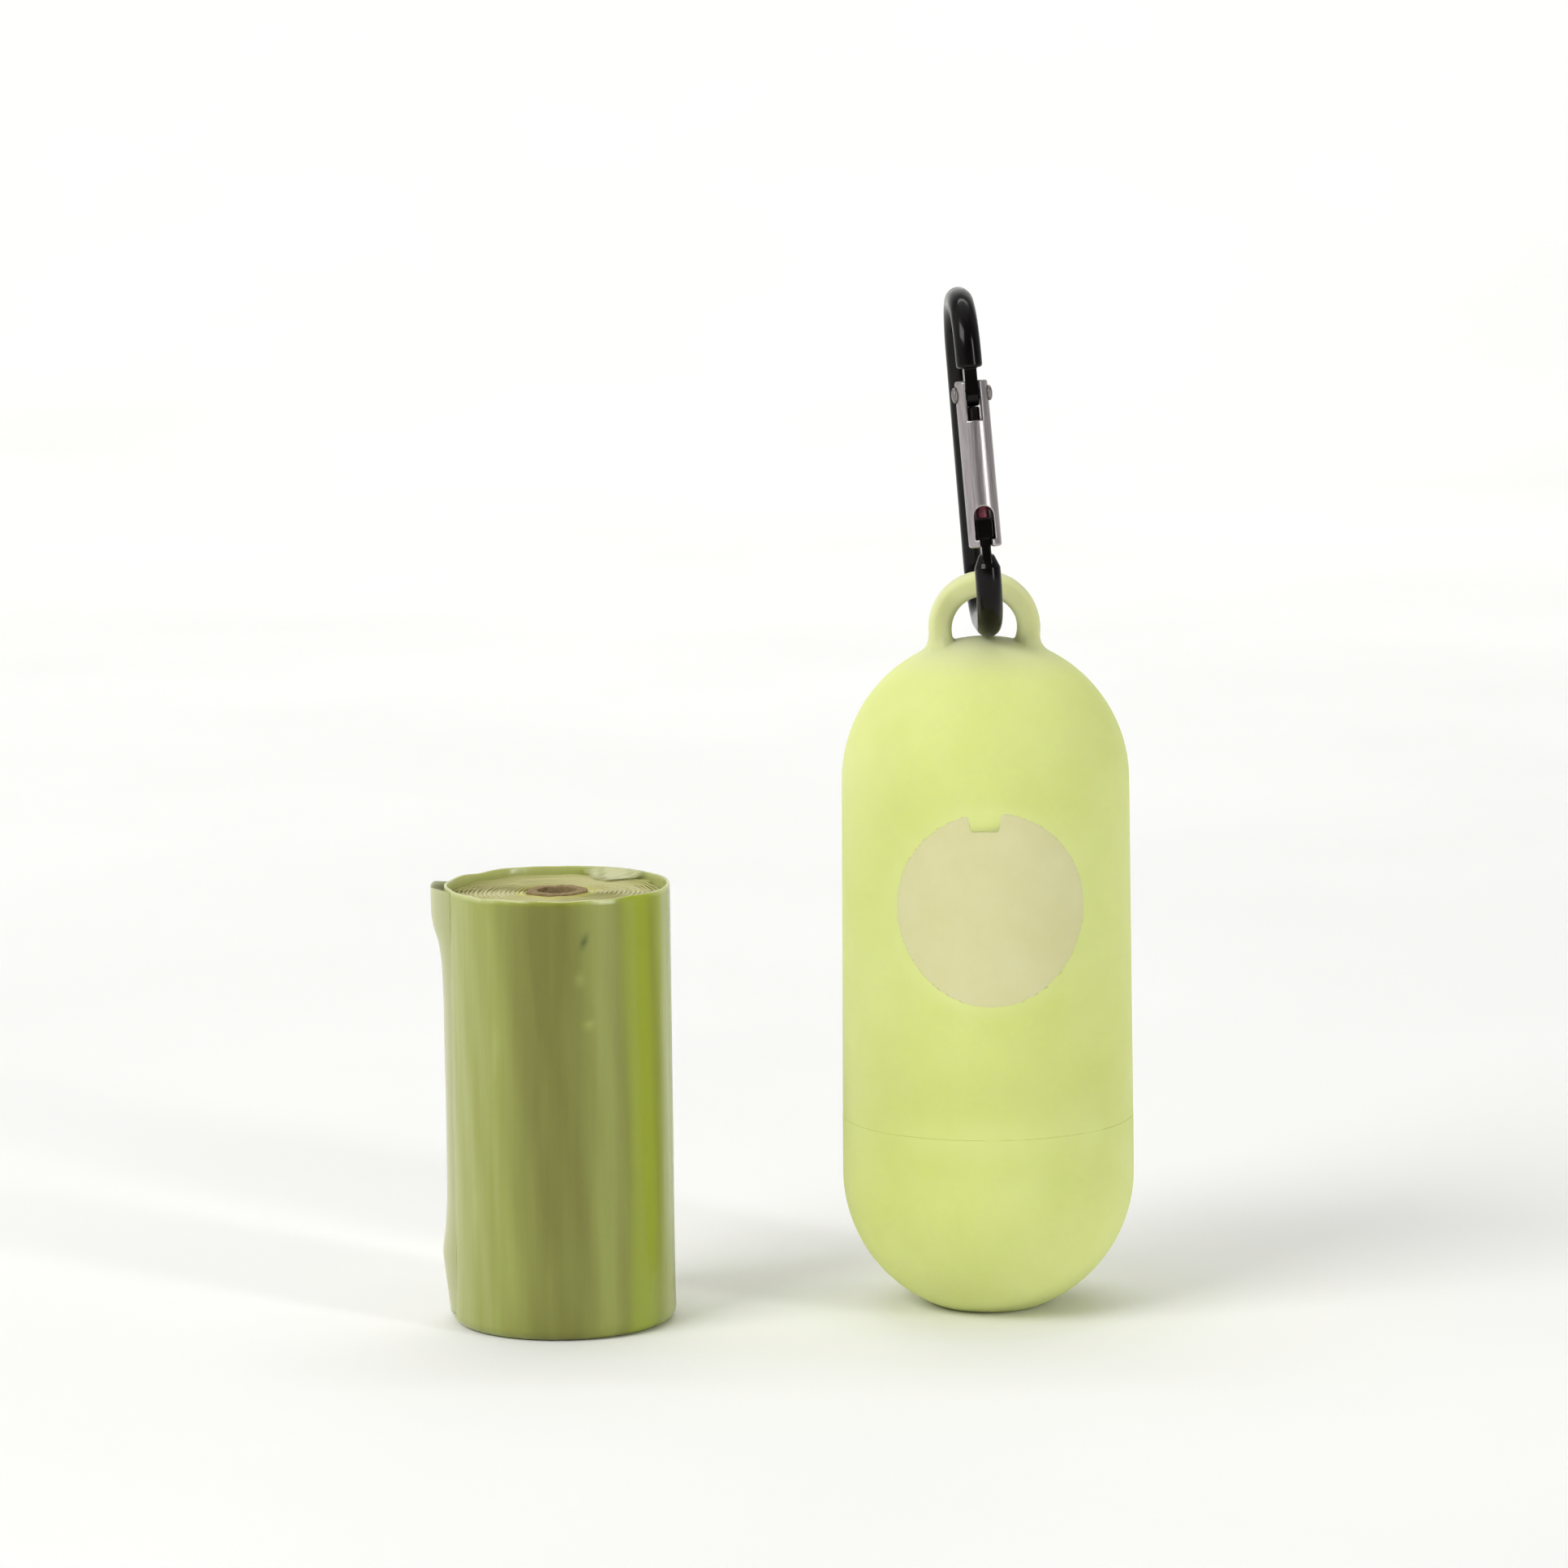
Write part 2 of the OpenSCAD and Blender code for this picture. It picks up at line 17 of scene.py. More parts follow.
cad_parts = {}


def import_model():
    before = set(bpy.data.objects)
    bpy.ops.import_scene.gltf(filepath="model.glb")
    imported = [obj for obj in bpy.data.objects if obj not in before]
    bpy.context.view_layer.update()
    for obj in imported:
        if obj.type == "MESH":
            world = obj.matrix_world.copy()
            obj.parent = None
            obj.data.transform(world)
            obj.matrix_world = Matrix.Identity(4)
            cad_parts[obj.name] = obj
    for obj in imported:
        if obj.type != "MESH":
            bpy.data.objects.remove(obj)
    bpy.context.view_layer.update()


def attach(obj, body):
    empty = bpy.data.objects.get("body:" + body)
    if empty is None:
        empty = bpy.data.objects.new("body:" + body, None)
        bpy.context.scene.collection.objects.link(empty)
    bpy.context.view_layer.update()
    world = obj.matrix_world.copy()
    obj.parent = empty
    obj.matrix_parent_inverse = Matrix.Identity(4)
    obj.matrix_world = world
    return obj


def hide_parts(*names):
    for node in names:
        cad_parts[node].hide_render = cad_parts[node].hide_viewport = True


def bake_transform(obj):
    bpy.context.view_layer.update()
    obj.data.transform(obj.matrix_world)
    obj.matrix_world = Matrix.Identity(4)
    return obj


LOG = logging.getLogger("bag_dispenser")
MM = 0.001
Array = np.ndarray
Field = Callable[[Array, Array, Array], Array]
Object = bpy.types.Object
Material = bpy.types.Material
Tree = bpy.types.NodeTree
Node = bpy.types.Node
Socket = bpy.types.NodeSocket


class Film(Enum):
    """How a stretch of bag film lies, which decides how clear it looks."""

    WOUND = "wound"
    WRAPPED = "wrapped"
    LOOSE = "loose"


# ---- colour and node helpers


def srgb(code: str) -> tuple[float, float, float, float]:
    """Turn an sRGB hex code into a linear colour.

    Args:
        code: A hash and six hex digits.

    Returns:
        Linear red, green and blue, and full opacity.
    """
    digits = code.lstrip("#")
    parts = [int(digits[i : i + 2], 16) / 255 for i in (0, 2, 4)]
    linear = [c / 12.92 if c <= 0.04045 else ((c + 0.055) / 1.055) ** 2.4 for c in parts]
    return (linear[0], linear[1], linear[2], 1.0)


def add_node(
    tree: Tree, kind: str, settings: dict | None = None, inputs: dict | None = None,
    links: dict | None = None,
) -> Node:
    """Add one node with its settings, input values and links.

    Args:
        tree: Node tree that takes the node.
        kind: Type name of the node.
        settings: Properties of the node by name.
        inputs: Values of input sockets by name or index.
        links: Output sockets that feed input sockets by name or index.

    Returns:
        The new node.
    """
    node = tree.nodes.new(kind)
    for name, value in (settings or {}).items():
        setattr(node, name, value)
    for name, value in (inputs or {}).items():
        node.inputs[name].default_value = value
    for name, source in (links or {}).items():
        tree.links.new(source, node.inputs[name])
    return node


def set_stops(ramp: Node, stops: list[tuple[float, str]]) -> None:
    """Give a colour ramp its stops.

    Args:
        ramp: Colour ramp node.
        stops: Position and sRGB hex code of each stop.
    """
    elements = ramp.color_ramp.elements
    while len(elements) < len(stops):
        elements.new(1.0)
    for element, (position, code) in zip(elements, stops):
        element.position = position
        element.color = srgb(code)


# ---- finishes


@dataclass(frozen=True)
class Finish:
    """A named material: one shader, fed by the nodes of its pattern."""

    name: str

    def start(self) -> tuple[Material, Tree, Socket]:
        """Make the empty material.

        Returns:
            The material, its tree and the object coordinates.
        """
        material = bpy.data.materials.new(self.name)
        material.use_nodes = True
        tree = material.node_tree
        tree.nodes.clear()
        coords = add_node(tree, "ShaderNodeTexCoord")
        return material, tree, coords.outputs["Object"]

    def finished(self, material: Material, inputs: dict, links: dict) -> Material:
        """End a material with its shader.

        Args:
            material: The material.
            inputs: Values of the shader's sockets by name.
            links: Output sockets that feed the shader's sockets by name.

        Returns:
            The same material.
        """
        tree = material.node_tree
        shader = add_node(tree, "ShaderNodeBsdfPrincipled", inputs=inputs, links=links)
        add_node(tree, "ShaderNodeOutputMaterial", links={"Surface": shader.outputs["BSDF"]})
        return material

    def build(self) -> Material:
        """Make the material."""
        raise NotImplementedError


@dataclass(frozen=True)
class MouldedSilicone(Finish):
    """Injection-moulded translucent silicone rubber.

    Light sinks in and comes out again, so shadows are soft and tinted, and a fine spark-eroded
    mould texture keeps highlights broad and dull. The real grain is about 0.1 mm and is drawn
    coarser, so that it shows. The ear is thinner, and from a set height up it is tinted paler:
    painted light, for the light that shines through its slender silicone. Light doesn't sink in
    where the two lips press together, nor at the pad's border, which would draw a dark band that
    pressed silicone doesn't show.
    """

    deep: str = "#d1da81"
    light: str = "#dbe396"
    # Painted light: the ear's paler tint stands in for light shining through it.
    backlit_ear: str = "#d1d5a2"
    backlit_from: float = 87.0
    backlit_to: float = 92.5
    seam: float = 26.45
    pad_z: float = 57.7
    pad_r: float = 12.9
    depth: float = 0.8
    grain_mm: float = 0.45
    mottle_mm: float = 24.0
    roughness: float = 0.64

    def freed(
        self, tree: Tree, distance: Socket, pressed: float, past: float,
        least: Socket | None = None,
    ) -> Socket:
        """Let light sink in only away from where another piece presses on the silicone.

        Args:
            tree: The material's tree.
            distance: Output that gives the distance along the surface.
            pressed: Distance at which the pieces press together, in millimetres.
            past: How far from there the light sinks in fully.
            least: Output for the share at the press, which is 0 without it.

        Returns:
            Output that goes from that share at the press to 1.
        """
        off = add_node(
            tree, "ShaderNodeMath", settings={"operation": "SUBTRACT"},
            inputs={1: pressed * MM}, links={0: distance},
        )
        size = add_node(
            tree, "ShaderNodeMath", settings={"operation": "ABSOLUTE"},
            links={0: off.outputs["Value"]},
        )
        free = add_node(
            tree, "ShaderNodeMapRange", settings={"interpolation_type": "SMOOTHSTEP"},
            inputs={"From Min": 0.4 * MM, "From Max": past * MM},
            links={"Value": size.outputs["Value"]},
        )
        if least is not None:
            tree.links.new(least, free.inputs["To Min"])
        return free.outputs["Result"]

    def build(self) -> Material:
        """Make the silicone.

        Returns:
            The material.
        """
        material, tree, at = self.start()
        mottle = add_node(
            tree, "ShaderNodeTexNoise",
            inputs={"Scale": 1 / (self.mottle_mm * MM), "Detail": 3.0, "Roughness": 0.55},
            links={"Vector": at},
        )
        ramp = add_node(tree, "ShaderNodeValToRGB", links={"Fac": mottle.outputs["Fac"]})
        set_stops(ramp, [(0.3, self.deep), (0.7, self.light)])
        axes = add_node(tree, "ShaderNodeSeparateXYZ", links={0: at})
        # Painted light: the ear is tinted paler for the light that shines through it.
        backlit_share = add_node(
            tree, "ShaderNodeMapRange", settings={"interpolation_type": "SMOOTHSTEP"},
            inputs={"From Min": self.backlit_from * MM, "From Max": self.backlit_to * MM},
            links={"Value": axes.outputs["Z"]},
        )
        tint = add_node(
            tree, "ShaderNodeMix", settings={"data_type": "RGBA"}, inputs={7: srgb(self.backlit_ear)},
            links={0: backlit_share.outputs["Result"], 6: ramp.outputs["Color"]},
        )
        lips = self.freed(tree, axes.outputs["Z"], self.seam, 4.0)
        level = add_node(
            tree, "ShaderNodeVectorMath", settings={"operation": "SUBTRACT"},
            inputs={1: (0.0, 0.0, self.pad_z * MM)}, links={0: at},
        )
        flat = add_node(
            tree, "ShaderNodeVectorMath", settings={"operation": "MULTIPLY"},
            inputs={1: (1.0, 0.0, 1.0)}, links={0: level.outputs["Vector"]},
        )
        reach = add_node(
            tree, "ShaderNodeVectorMath", settings={"operation": "LENGTH"},
            links={0: flat.outputs["Vector"]},
        )
        behind = add_node(
            tree, "ShaderNodeMapRange", inputs={"From Min": -2 * MM, "From Max": 2 * MM},
            links={"Value": axes.outputs["Y"]},
        )
        border = self.freed(tree, reach.outputs["Value"], self.pad_r, 2.6,
                            behind.outputs["Result"])
        both = add_node(
            tree, "ShaderNodeMath", settings={"operation": "MULTIPLY"},
            links={0: lips, 1: border},
        )
        sunk = add_node(
            tree, "ShaderNodeMath", settings={"operation": "MULTIPLY"}, inputs={1: self.depth},
            links={0: both.outputs["Value"]},
        )
        grain = add_node(
            tree, "ShaderNodeTexNoise",
            inputs={"Scale": 1 / (self.grain_mm * MM), "Detail": 2.0, "Roughness": 0.6},
            links={"Vector": at},
        )
        bump = add_node(
            tree, "ShaderNodeBump", inputs={"Strength": 0.25, "Distance": 0.02 * MM},
            links={"Height": grain.outputs["Fac"]},
        )
        return self.finished(
            material,
            inputs={"Roughness": self.roughness, "IOR": 1.41, "Specular IOR Level": 0.2,
                    "Subsurface Radius": (1.0, 0.95, 0.4), "Subsurface Scale": 3.6 * MM},
            links={"Subsurface Weight": sunk.outputs["Value"], "Base Color": tint.outputs[2],
                   "Normal": bump.outputs["Normal"]},
        )


@dataclass(frozen=True)
class PrintedPad(Finish):
    """Pale silicone pad with a flat, chalky printed face."""

    shade: str = "#d2cf9a"
    light: str = "#d8d5a6"

    def build(self) -> Material:
        """Make the pad.

        Returns:
            The material.
        """
        material, tree, at = self.start()
        cloud = add_node(
            tree, "ShaderNodeTexNoise",
            inputs={"Scale": 1 / (7 * MM), "Detail": 4.0, "Roughness": 0.6},
            links={"Vector": at},
        )
        ramp = add_node(tree, "ShaderNodeValToRGB", links={"Fac": cloud.outputs["Fac"]})
        set_stops(ramp, [(0.3, self.shade), (0.7, self.light)])
        grain = add_node(
            tree, "ShaderNodeTexNoise", inputs={"Scale": 1 / (0.35 * MM), "Detail": 2.0},
            links={"Vector": at},
        )
        bump = add_node(
            tree, "ShaderNodeBump", inputs={"Strength": 0.2, "Distance": 0.015 * MM},
            links={"Height": grain.outputs["Fac"]},
        )
        return self.finished(
            material,
            inputs={"Roughness": 0.7, "IOR": 1.41, "Specular IOR Level": 0.3,
                    "Subsurface Weight": 0.25, "Subsurface Radius": (1.0, 0.9, 0.5),
                    "Subsurface Scale": 1.2 * MM},
            links={"Base Color": ramp.outputs["Color"], "Normal": bump.outputs["Normal"]},
        )


@dataclass(frozen=True)
class BakedEnamel(Finish):
    """Glossy black stoving enamel on bent wire.

    A clear, slightly wavy coat gives long sharp highlights, and tiny pits dull them here and there.
    """

    colour: str = "#080505"
    peel_mm: float = 1.6

    def build(self) -> Material:
        """Make the enamel.

        Returns:
            The material.
        """
        material, tree, at = self.start()
        peel = add_node(
            tree, "ShaderNodeTexNoise",
            inputs={"Scale": 1 / (self.peel_mm * MM), "Detail": 2.0, "Roughness": 0.5},
            links={"Vector": at},
        )
        dull = add_node(
            tree, "ShaderNodeMapRange",
            inputs={"From Min": 0.35, "From Max": 0.75, "To Min": 0.16, "To Max": 0.3},
            links={"Value": peel.outputs["Fac"]},
        )
        bump = add_node(
            tree, "ShaderNodeBump", inputs={"Strength": 0.35, "Distance": 0.03 * MM},
            links={"Height": peel.outputs["Fac"]},
        )
        return self.finished(
            material,
            inputs={"Base Color": srgb(self.colour), "IOR": 1.5, "Specular IOR Level": 0.1,
                    "Coat Weight": 0.16, "Coat Roughness": 0.08},
            links={"Roughness": dull.outputs["Result"], "Normal": bump.outputs["Normal"]},
        )


@dataclass(frozen=True)
class DrawnMetal(Finish):
    """Bare drawn bar: fine lengthwise die lines and a soft satin shine.

    Real die lines are about 0.03 mm apart and are drawn coarser, so that they show.
    """

    colour: str = "#b9b2b3"
    dark: str = "#8f8788"
    roughness: float = 0.33
    line_mm: float = 0.16
    stretch: float = 33.0
    turn: tuple[float, float, float] = (0.0, 0.0, 0.0)

    def build(self) -> Material:
        """Make the metal.

        Returns:
            The material.
        """
        material, tree, at = self.start()
        lined = add_node(
            tree, "ShaderNodeMapping", settings={"vector_type": "TEXTURE"},
            inputs={"Rotation": self.turn, "Scale": (1.0, 1.0, self.stretch)}, links={"Vector": at},
        )
        lines = add_node(
            tree, "ShaderNodeTexNoise",
            inputs={"Scale": 1 / (self.line_mm * MM), "Detail": 3.0, "Roughness": 0.65},
            links={"Vector": lined.outputs["Vector"]},
        )
        ramp = add_node(tree, "ShaderNodeValToRGB", links={"Fac": lines.outputs["Fac"]})
        set_stops(ramp, [(0.25, self.dark), (0.6, self.colour)])
        rough = add_node(
            tree, "ShaderNodeMapRange",
            inputs={"To Min": self.roughness - 0.07, "To Max": self.roughness + 0.1},
            links={"Value": lines.outputs["Fac"]},
        )
        bump = add_node(
            tree, "ShaderNodeBump", inputs={"Strength": 0.3, "Distance": 0.01 * MM},
            links={"Height": lines.outputs["Fac"]},
        )
        return self.finished(
            material,
            inputs={"Metallic": 1.0},
            links={"Base Color": ramp.outputs["Color"], "Roughness": rough.outputs["Result"],
                   "Normal": bump.outputs["Normal"]},
        )


@dataclass(frozen=True)
class MouldedPlastic(Finish):
    """Small hard plastic piece with a faint moulded grain."""

    colour: str = "#842b40"
    dark: str = "#5a2030"

    def build(self) -> Material:
        """Make the plastic.

        Returns:
            The material.
        """
        material, tree, at = self.start()
        cloud = add_node(
            tree, "ShaderNodeTexNoise", inputs={"Scale": 1 / (0.8 * MM), "Detail": 3.0},
            links={"Vector": at},
        )
        ramp = add_node(tree, "ShaderNodeValToRGB", links={"Fac": cloud.outputs["Fac"]})
        set_stops(ramp, [(0.3, self.dark), (0.7, self.colour)])
        return self.finished(
            material,
            inputs={"Roughness": 0.4, "IOR": 1.49},
            links={"Base Color": ramp.outputs["Color"]},
        )


@dataclass(frozen=True)
class BlownFilm(Finish):
    """Thin blown polyethylene film, lime tinted.

    Stretched layers cling in upright stripes that look deep and glossy, and trapped air between
    loose layers makes the rest pale and milky. On the spare roll's wrap the air share also carries
    painted light: painted sheen along both side edges, partly painted reflection of the dim room
    in the deep front, a painted highlight on the rim and painted light through the inner wall. The
    pinch share mixes in a painted crease shadow. A single loose layer is half clear, and clearer
    still along the edges that cling: veil is how much it hides at most, and clear the air at which
    it starts to hide and hides most.
    """

    lie: Film = Film.WRAPPED
    deep: str = "#73742b"
    mid: str = "#969d4b"
    pale: str = "#c3c78f"
    taut: str = "#9ca935"
    # Painted shadow of a small crease, mixed in by the pinch share.
    crease_shade: str = "#4d5c24"
    veil: float = 0.58
    clear: tuple[float, float] = (0.2, 0.85)

    def build(self) -> Material:
        """Make the film.

        Returns:
            The material.
        """
        material, tree, at = self.start()
        streaks = add_node(
            tree, "ShaderNodeMapping", inputs={"Scale": (1.0, 1.0, 0.05)}, links={"Vector": at},
        )
        streak = add_node(
            tree, "ShaderNodeTexNoise",
            inputs={"Scale": 1 / (1.3 * MM), "Detail": 4.0, "Roughness": 0.6},
            links={"Vector": streaks.outputs["Vector"]},
        )
        # The air share; on the spare wrap it also carries painted light.
        cling = add_node(tree, "ShaderNodeAttribute", settings={"attribute_name": "air"})
        joined = add_node(
            tree, "ShaderNodeMath", settings={"operation": "MULTIPLY_ADD"},
            inputs={1: 0.22, 2: -0.11}, links={0: streak.outputs["Fac"]},
        )
        total = add_node(
            tree, "ShaderNodeMath", settings={"operation": "ADD", "use_clamp": True},
            links={0: cling.outputs["Fac"], 1: joined.outputs["Value"]},
        )
        ramp = add_node(tree, "ShaderNodeValToRGB", links={"Fac": total.outputs["Value"]})
        set_stops(ramp, [(0.0, self.deep), (0.5, self.mid), (1.0, self.pale)])
        pulled = add_node(tree, "ShaderNodeAttribute", settings={"attribute_name": "taut"})
        tint = add_node(
            tree, "ShaderNodeMix", settings={"data_type": "RGBA"}, inputs={7: srgb(self.taut)},
            links={0: pulled.outputs["Fac"], 6: ramp.outputs["Color"]},
        )
        # Painted crease shadow, by the pinch share.
        crease_shade_share = add_node(tree, "ShaderNodeAttribute", settings={"attribute_name": "pinch"})
        crease_shade_spot = add_node(
            tree, "ShaderNodeMix", settings={"data_type": "RGBA"}, inputs={7: srgb(self.crease_shade)},
            links={0: crease_shade_share.outputs["Fac"], 6: tint.outputs[2]},
        )
        crinkle = add_node(
            tree, "ShaderNodeTexNoise",
            inputs={"Scale": 1 / (2.4 * MM), "Detail": 5.0, "Roughness": 0.62, "Distortion": 0.4},
            links={"Vector": streaks.outputs["Vector"]},
        )
        bump = add_node(
            tree, "ShaderNodeBump", inputs={"Strength": 0.5, "Distance": 0.12 * MM},
            links={"Height": crinkle.outputs["Fac"]},
        )
        links = {"Base Color": crease_shade_spot.outputs[2], "Normal": bump.outputs["Normal"]}
        loose = self.lie is Film.LOOSE
        if loose:
            clear = add_node(
                tree, "ShaderNodeMapRange",
                inputs={"From Min": self.clear[0], "From Max": self.clear[1],
                        "To Max": self.veil},
                links={"Value": cling.outputs["Fac"]},
            )
            links["Alpha"] = clear.outputs["Result"]
        return self.finished(
            material,
            inputs={"Roughness": 0.3 if loose else 0.24, "IOR": 1.5,
                    "Subsurface Weight": 0.0 if loose else 0.25,
                    "Subsurface Radius": (1.0, 1.0, 0.4), "Subsurface Scale": 1.4 * MM},
            links=links,
        )


@dataclass(frozen=True)
class WoundEnd(Finish):
    """End of a wound roll: hundreds of cut film edges, greyed and slightly dusty.

    The film is about 0.015 mm thick, so its edges are drawn as coarser rings, which show.
    """

    dark: str = "#9f9960"
    light: str = "#c9c48a"
    inner: str = "#c8c468"
    grey: str = "#c1bd85"
    outer: str = "#b2b26a"
    centre: tuple[float, float] = (0.0, 0.0)
    radius: float = 14.62
    ring_mm: float = 0.32

    def build(self) -> Material:
        """Make the end face.

        Returns:
            The material.
        """
        material, tree, at = self.start()
        centred = add_node(
            tree, "ShaderNodeMapping",
            inputs={"Location": (-self.centre[0] * MM, -self.centre[1] * MM, 0.0)},
            links={"Vector": at},
        )
        flat = add_node(
            tree, "ShaderNodeMapping", inputs={"Scale": (1.0, 1.0, 0.0)},
            links={"Vector": centred.outputs["Vector"]},
        )
        radius = add_node(
            tree, "ShaderNodeVectorMath", settings={"operation": "LENGTH"},
            links={0: flat.outputs["Vector"]},
        )
        rings = add_node(
            tree, "ShaderNodeTexNoise", settings={"noise_dimensions": "1D"},
            inputs={"Scale": 1 / (self.ring_mm * MM), "Detail": 3.0},
            links={"W": radius.outputs["Value"]},
        )
        patches = add_node(
            tree, "ShaderNodeTexNoise", inputs={"Scale": 1 / (5 * MM), "Detail": 4.0},
            links={"Vector": at},
        )
        both = add_node(
            tree, "ShaderNodeMath", settings={"operation": "MULTIPLY_ADD"}, inputs={1: 0.5},
            links={0: patches.outputs["Fac"], 2: rings.outputs["Fac"]},
        )
        ramp = add_node(tree, "ShaderNodeValToRGB", links={"Fac": both.outputs["Value"]})
        set_stops(ramp, [(0.45, self.dark), (1.0, self.light)])
        share = add_node(
            tree, "ShaderNodeMapRange", inputs={"From Max": self.radius * MM},
            links={"Value": radius.outputs["Value"]},
        )
        zones = add_node(tree, "ShaderNodeValToRGB", links={"Fac": share.outputs["Result"]})
        set_stops(zones, [(0.33, self.inner), (0.42, self.grey), (0.8, self.grey),
                          (0.93, self.outer)])
        tint = add_node(
            tree, "ShaderNodeMix", settings={"data_type": "RGBA"}, inputs={0: 0.65},
            links={6: ramp.outputs["Color"], 7: zones.outputs["Color"]},
        )
        bump = add_node(
            tree, "ShaderNodeBump", inputs={"Strength": 0.5, "Distance": 0.1 * MM},
            links={"Height": rings.outputs["Fac"]},
        )
        return self.finished(
            material,
            inputs={"Roughness": 0.55},
            links={"Base Color": tint.outputs[2], "Normal": bump.outputs["Normal"]},
        )


@dataclass(frozen=True)
class KraftBoard(Finish):
    """Spirally wound kraft board: matte, fibrous, with a slanting ply seam."""

    dark: str = "#75643f"
    light: str = "#a28d68"
    centre: tuple[float, float] = (0.0, 0.0)
    ply_mm: float = 14.0

    def build(self) -> Material:
        """Make the board.

        Returns:
            The material.
        """
        material, tree, at = self.start()
        fibres = add_node(
            tree, "ShaderNodeTexNoise",
            inputs={"Scale": 1 / (0.5 * MM), "Detail": 5.0, "Roughness": 0.7, "Distortion": 0.6},
            links={"Vector": at},
        )
        ramp = add_node(tree, "ShaderNodeValToRGB", links={"Fac": fibres.outputs["Fac"]})
        set_stops(ramp, [(0.3, self.dark), (0.7, self.light)])
        centred = add_node(
            tree, "ShaderNodeMapping",
            inputs={"Location": (-self.centre[0] * MM, -self.centre[1] * MM, 0.0)},
            links={"Vector": at},
        )
        axes = add_node(tree, "ShaderNodeSeparateXYZ", links={0: centred.outputs["Vector"]})
        angle = add_node(
            tree, "ShaderNodeMath", settings={"operation": "ARCTAN2"},
            links={0: axes.outputs["Y"], 1: axes.outputs["X"]},
        )
        climb = add_node(
            tree, "ShaderNodeMath", settings={"operation": "MULTIPLY_ADD"},
            inputs={1: self.ply_mm * MM / (2 * math.pi)},
            links={0: angle.outputs["Value"], 2: axes.outputs["Z"]},
        )
        seam = add_node(
            tree, "ShaderNodeMath", settings={"operation": "PINGPONG"},
            inputs={1: self.ply_mm * MM / 2}, links={0: climb.outputs["Value"]},
        )
        groove = add_node(
            tree, "ShaderNodeMapRange",
            inputs={"From Min": 0.0, "From Max": 0.35 * MM, "To Min": 0.0, "To Max": 1.0},
            links={"Value": seam.outputs["Value"]},
        )
        height = add_node(
            tree, "ShaderNodeMath", settings={"operation": "ADD"},
            links={0: groove.outputs["Result"], 1: fibres.outputs["Fac"]},
        )
        bump = add_node(
            tree, "ShaderNodeBump", inputs={"Strength": 0.5, "Distance": 0.05 * MM},
            links={"Height": height.outputs["Value"]},
        )
        return self.finished(
            material,
            inputs={"Roughness": 0.9, "Specular IOR Level": 0.2},
            links={"Base Color": ramp.outputs["Color"], "Normal": bump.outputs["Normal"]},
        )


@dataclass(frozen=True)
class PaleSweep(Finish):
    """Matte painted studio sweep, almost even."""

    colour: str = "#f4f4f2"
    shade: str = "#efefed"
    cloud_mm: float = 500 / 3

    def build(self) -> Material:
        """Make the sweep's paint.

        Returns:
            The material.
        """
        material, tree, at = self.start()
        cloud = add_node(
            tree, "ShaderNodeTexNoise",
            inputs={"Scale": 1 / (self.cloud_mm * MM), "Detail": 2.0}, links={"Vector": at},
        )
        ramp = add_node(tree, "ShaderNodeValToRGB", links={"Fac": cloud.outputs["Fac"]})
        set_stops(ramp, [(0.3, self.shade), (0.7, self.colour)])
        return self.finished(
            material,
            inputs={"Roughness": 0.95, "Specular IOR Level": 0.1},
            links={"Base Color": ramp.outputs["Color"]},
        )


# ---- mesh helpers


def mesh_object(
    name: str, points: Array, faces: list, frame: Matrix | None = None,
    normals: Array | None = None,
) -> Object:
    """Make an object at the origin from points in millimetres.

    Args:
        name: Name of the object.
        points: Rows of x, y and z in millimetres.
        faces: Point indices of each face, turning left seen from outside.
        frame: Matrix in millimetres that places the points, or None to leave them.
        normals: Smooth normal of each point, where they are known exactly.

    Returns:
        The new object, shaded smooth.
    """
    if frame is not None:
        turn = np.array(frame.to_3x3())
        points = points @ turn.T + np.array(frame.translation)
        normals = normals if normals is None else normals @ turn.T
    mesh = bpy.data.meshes.new(name)
    mesh.from_pydata((points * MM).tolist(), [], faces)
    mesh.polygons.foreach_set("use_smooth", [True] * len(mesh.polygons))
    if normals is not None:
        mesh.normals_split_custom_set_from_vertices(normals.tolist())
    mesh.update()
    obj = bpy.data.objects.new(name, mesh)
    bpy.context.scene.collection.objects.link(obj)
    return obj


def place(
    obj: Object, body: str | None, material: Material | None,
    stands_for: tuple[str, ...] = (),
) -> None:
    """Dress a piece, give it its body, slot and the nodes that it stands for, and report it.

    Args:
        obj: The piece.
        body: Body that it rides on, or None to leave it without one.
        material: Its material, or None where it already has one.
        stands_for: CAD nodes that it replaces.
    """
    if material is not None:
        obj.data.materials.clear()
        obj.data.materials.append(material)
    if body is not None:
        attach(obj, body)
    if stands_for:
        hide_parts(*stands_for)
    LOG.info("%s on %s: %d faces", obj.name, body or "two bodies", len(obj.data.polygons))


def round_max(a: Array, b: Array, radius: float) -> Array:
    """Intersect two distance fields and round the edge between them."""
    u, v = np.maximum(radius + a, 0), np.maximum(radius + b, 0)
    return np.minimum(-radius, np.maximum(a, b)) + np.hypot(u, v)


def round_min(a: Array, b: Array, radius: Array | float) -> Array:
    """Join two distance fields with a fillet between them."""
    u, v = np.maximum(radius - a, 0), np.maximum(radius - b, 0)
    return np.maximum(radius, np.minimum(a, b)) - np.hypot(u, v)


def rounded_slab(outline: Array, across: Array, half: float, radius: float) -> Array:
    """Thicken an outline's distance into a plate with rounded edges.

    Args:
        outline: Signed distance to the outline.
        across: Distance from the plate's middle plane.
        half: Half of the plate's thickness.
        radius: Radius of its edges.

    Returns:
        Signed distance to the plate.
    """
    u, v = outline + radius, np.abs(across) - half + radius
    return np.minimum(np.maximum(u, v), 0) + np.hypot(np.maximum(u, 0), np.maximum(v, 0)) - radius


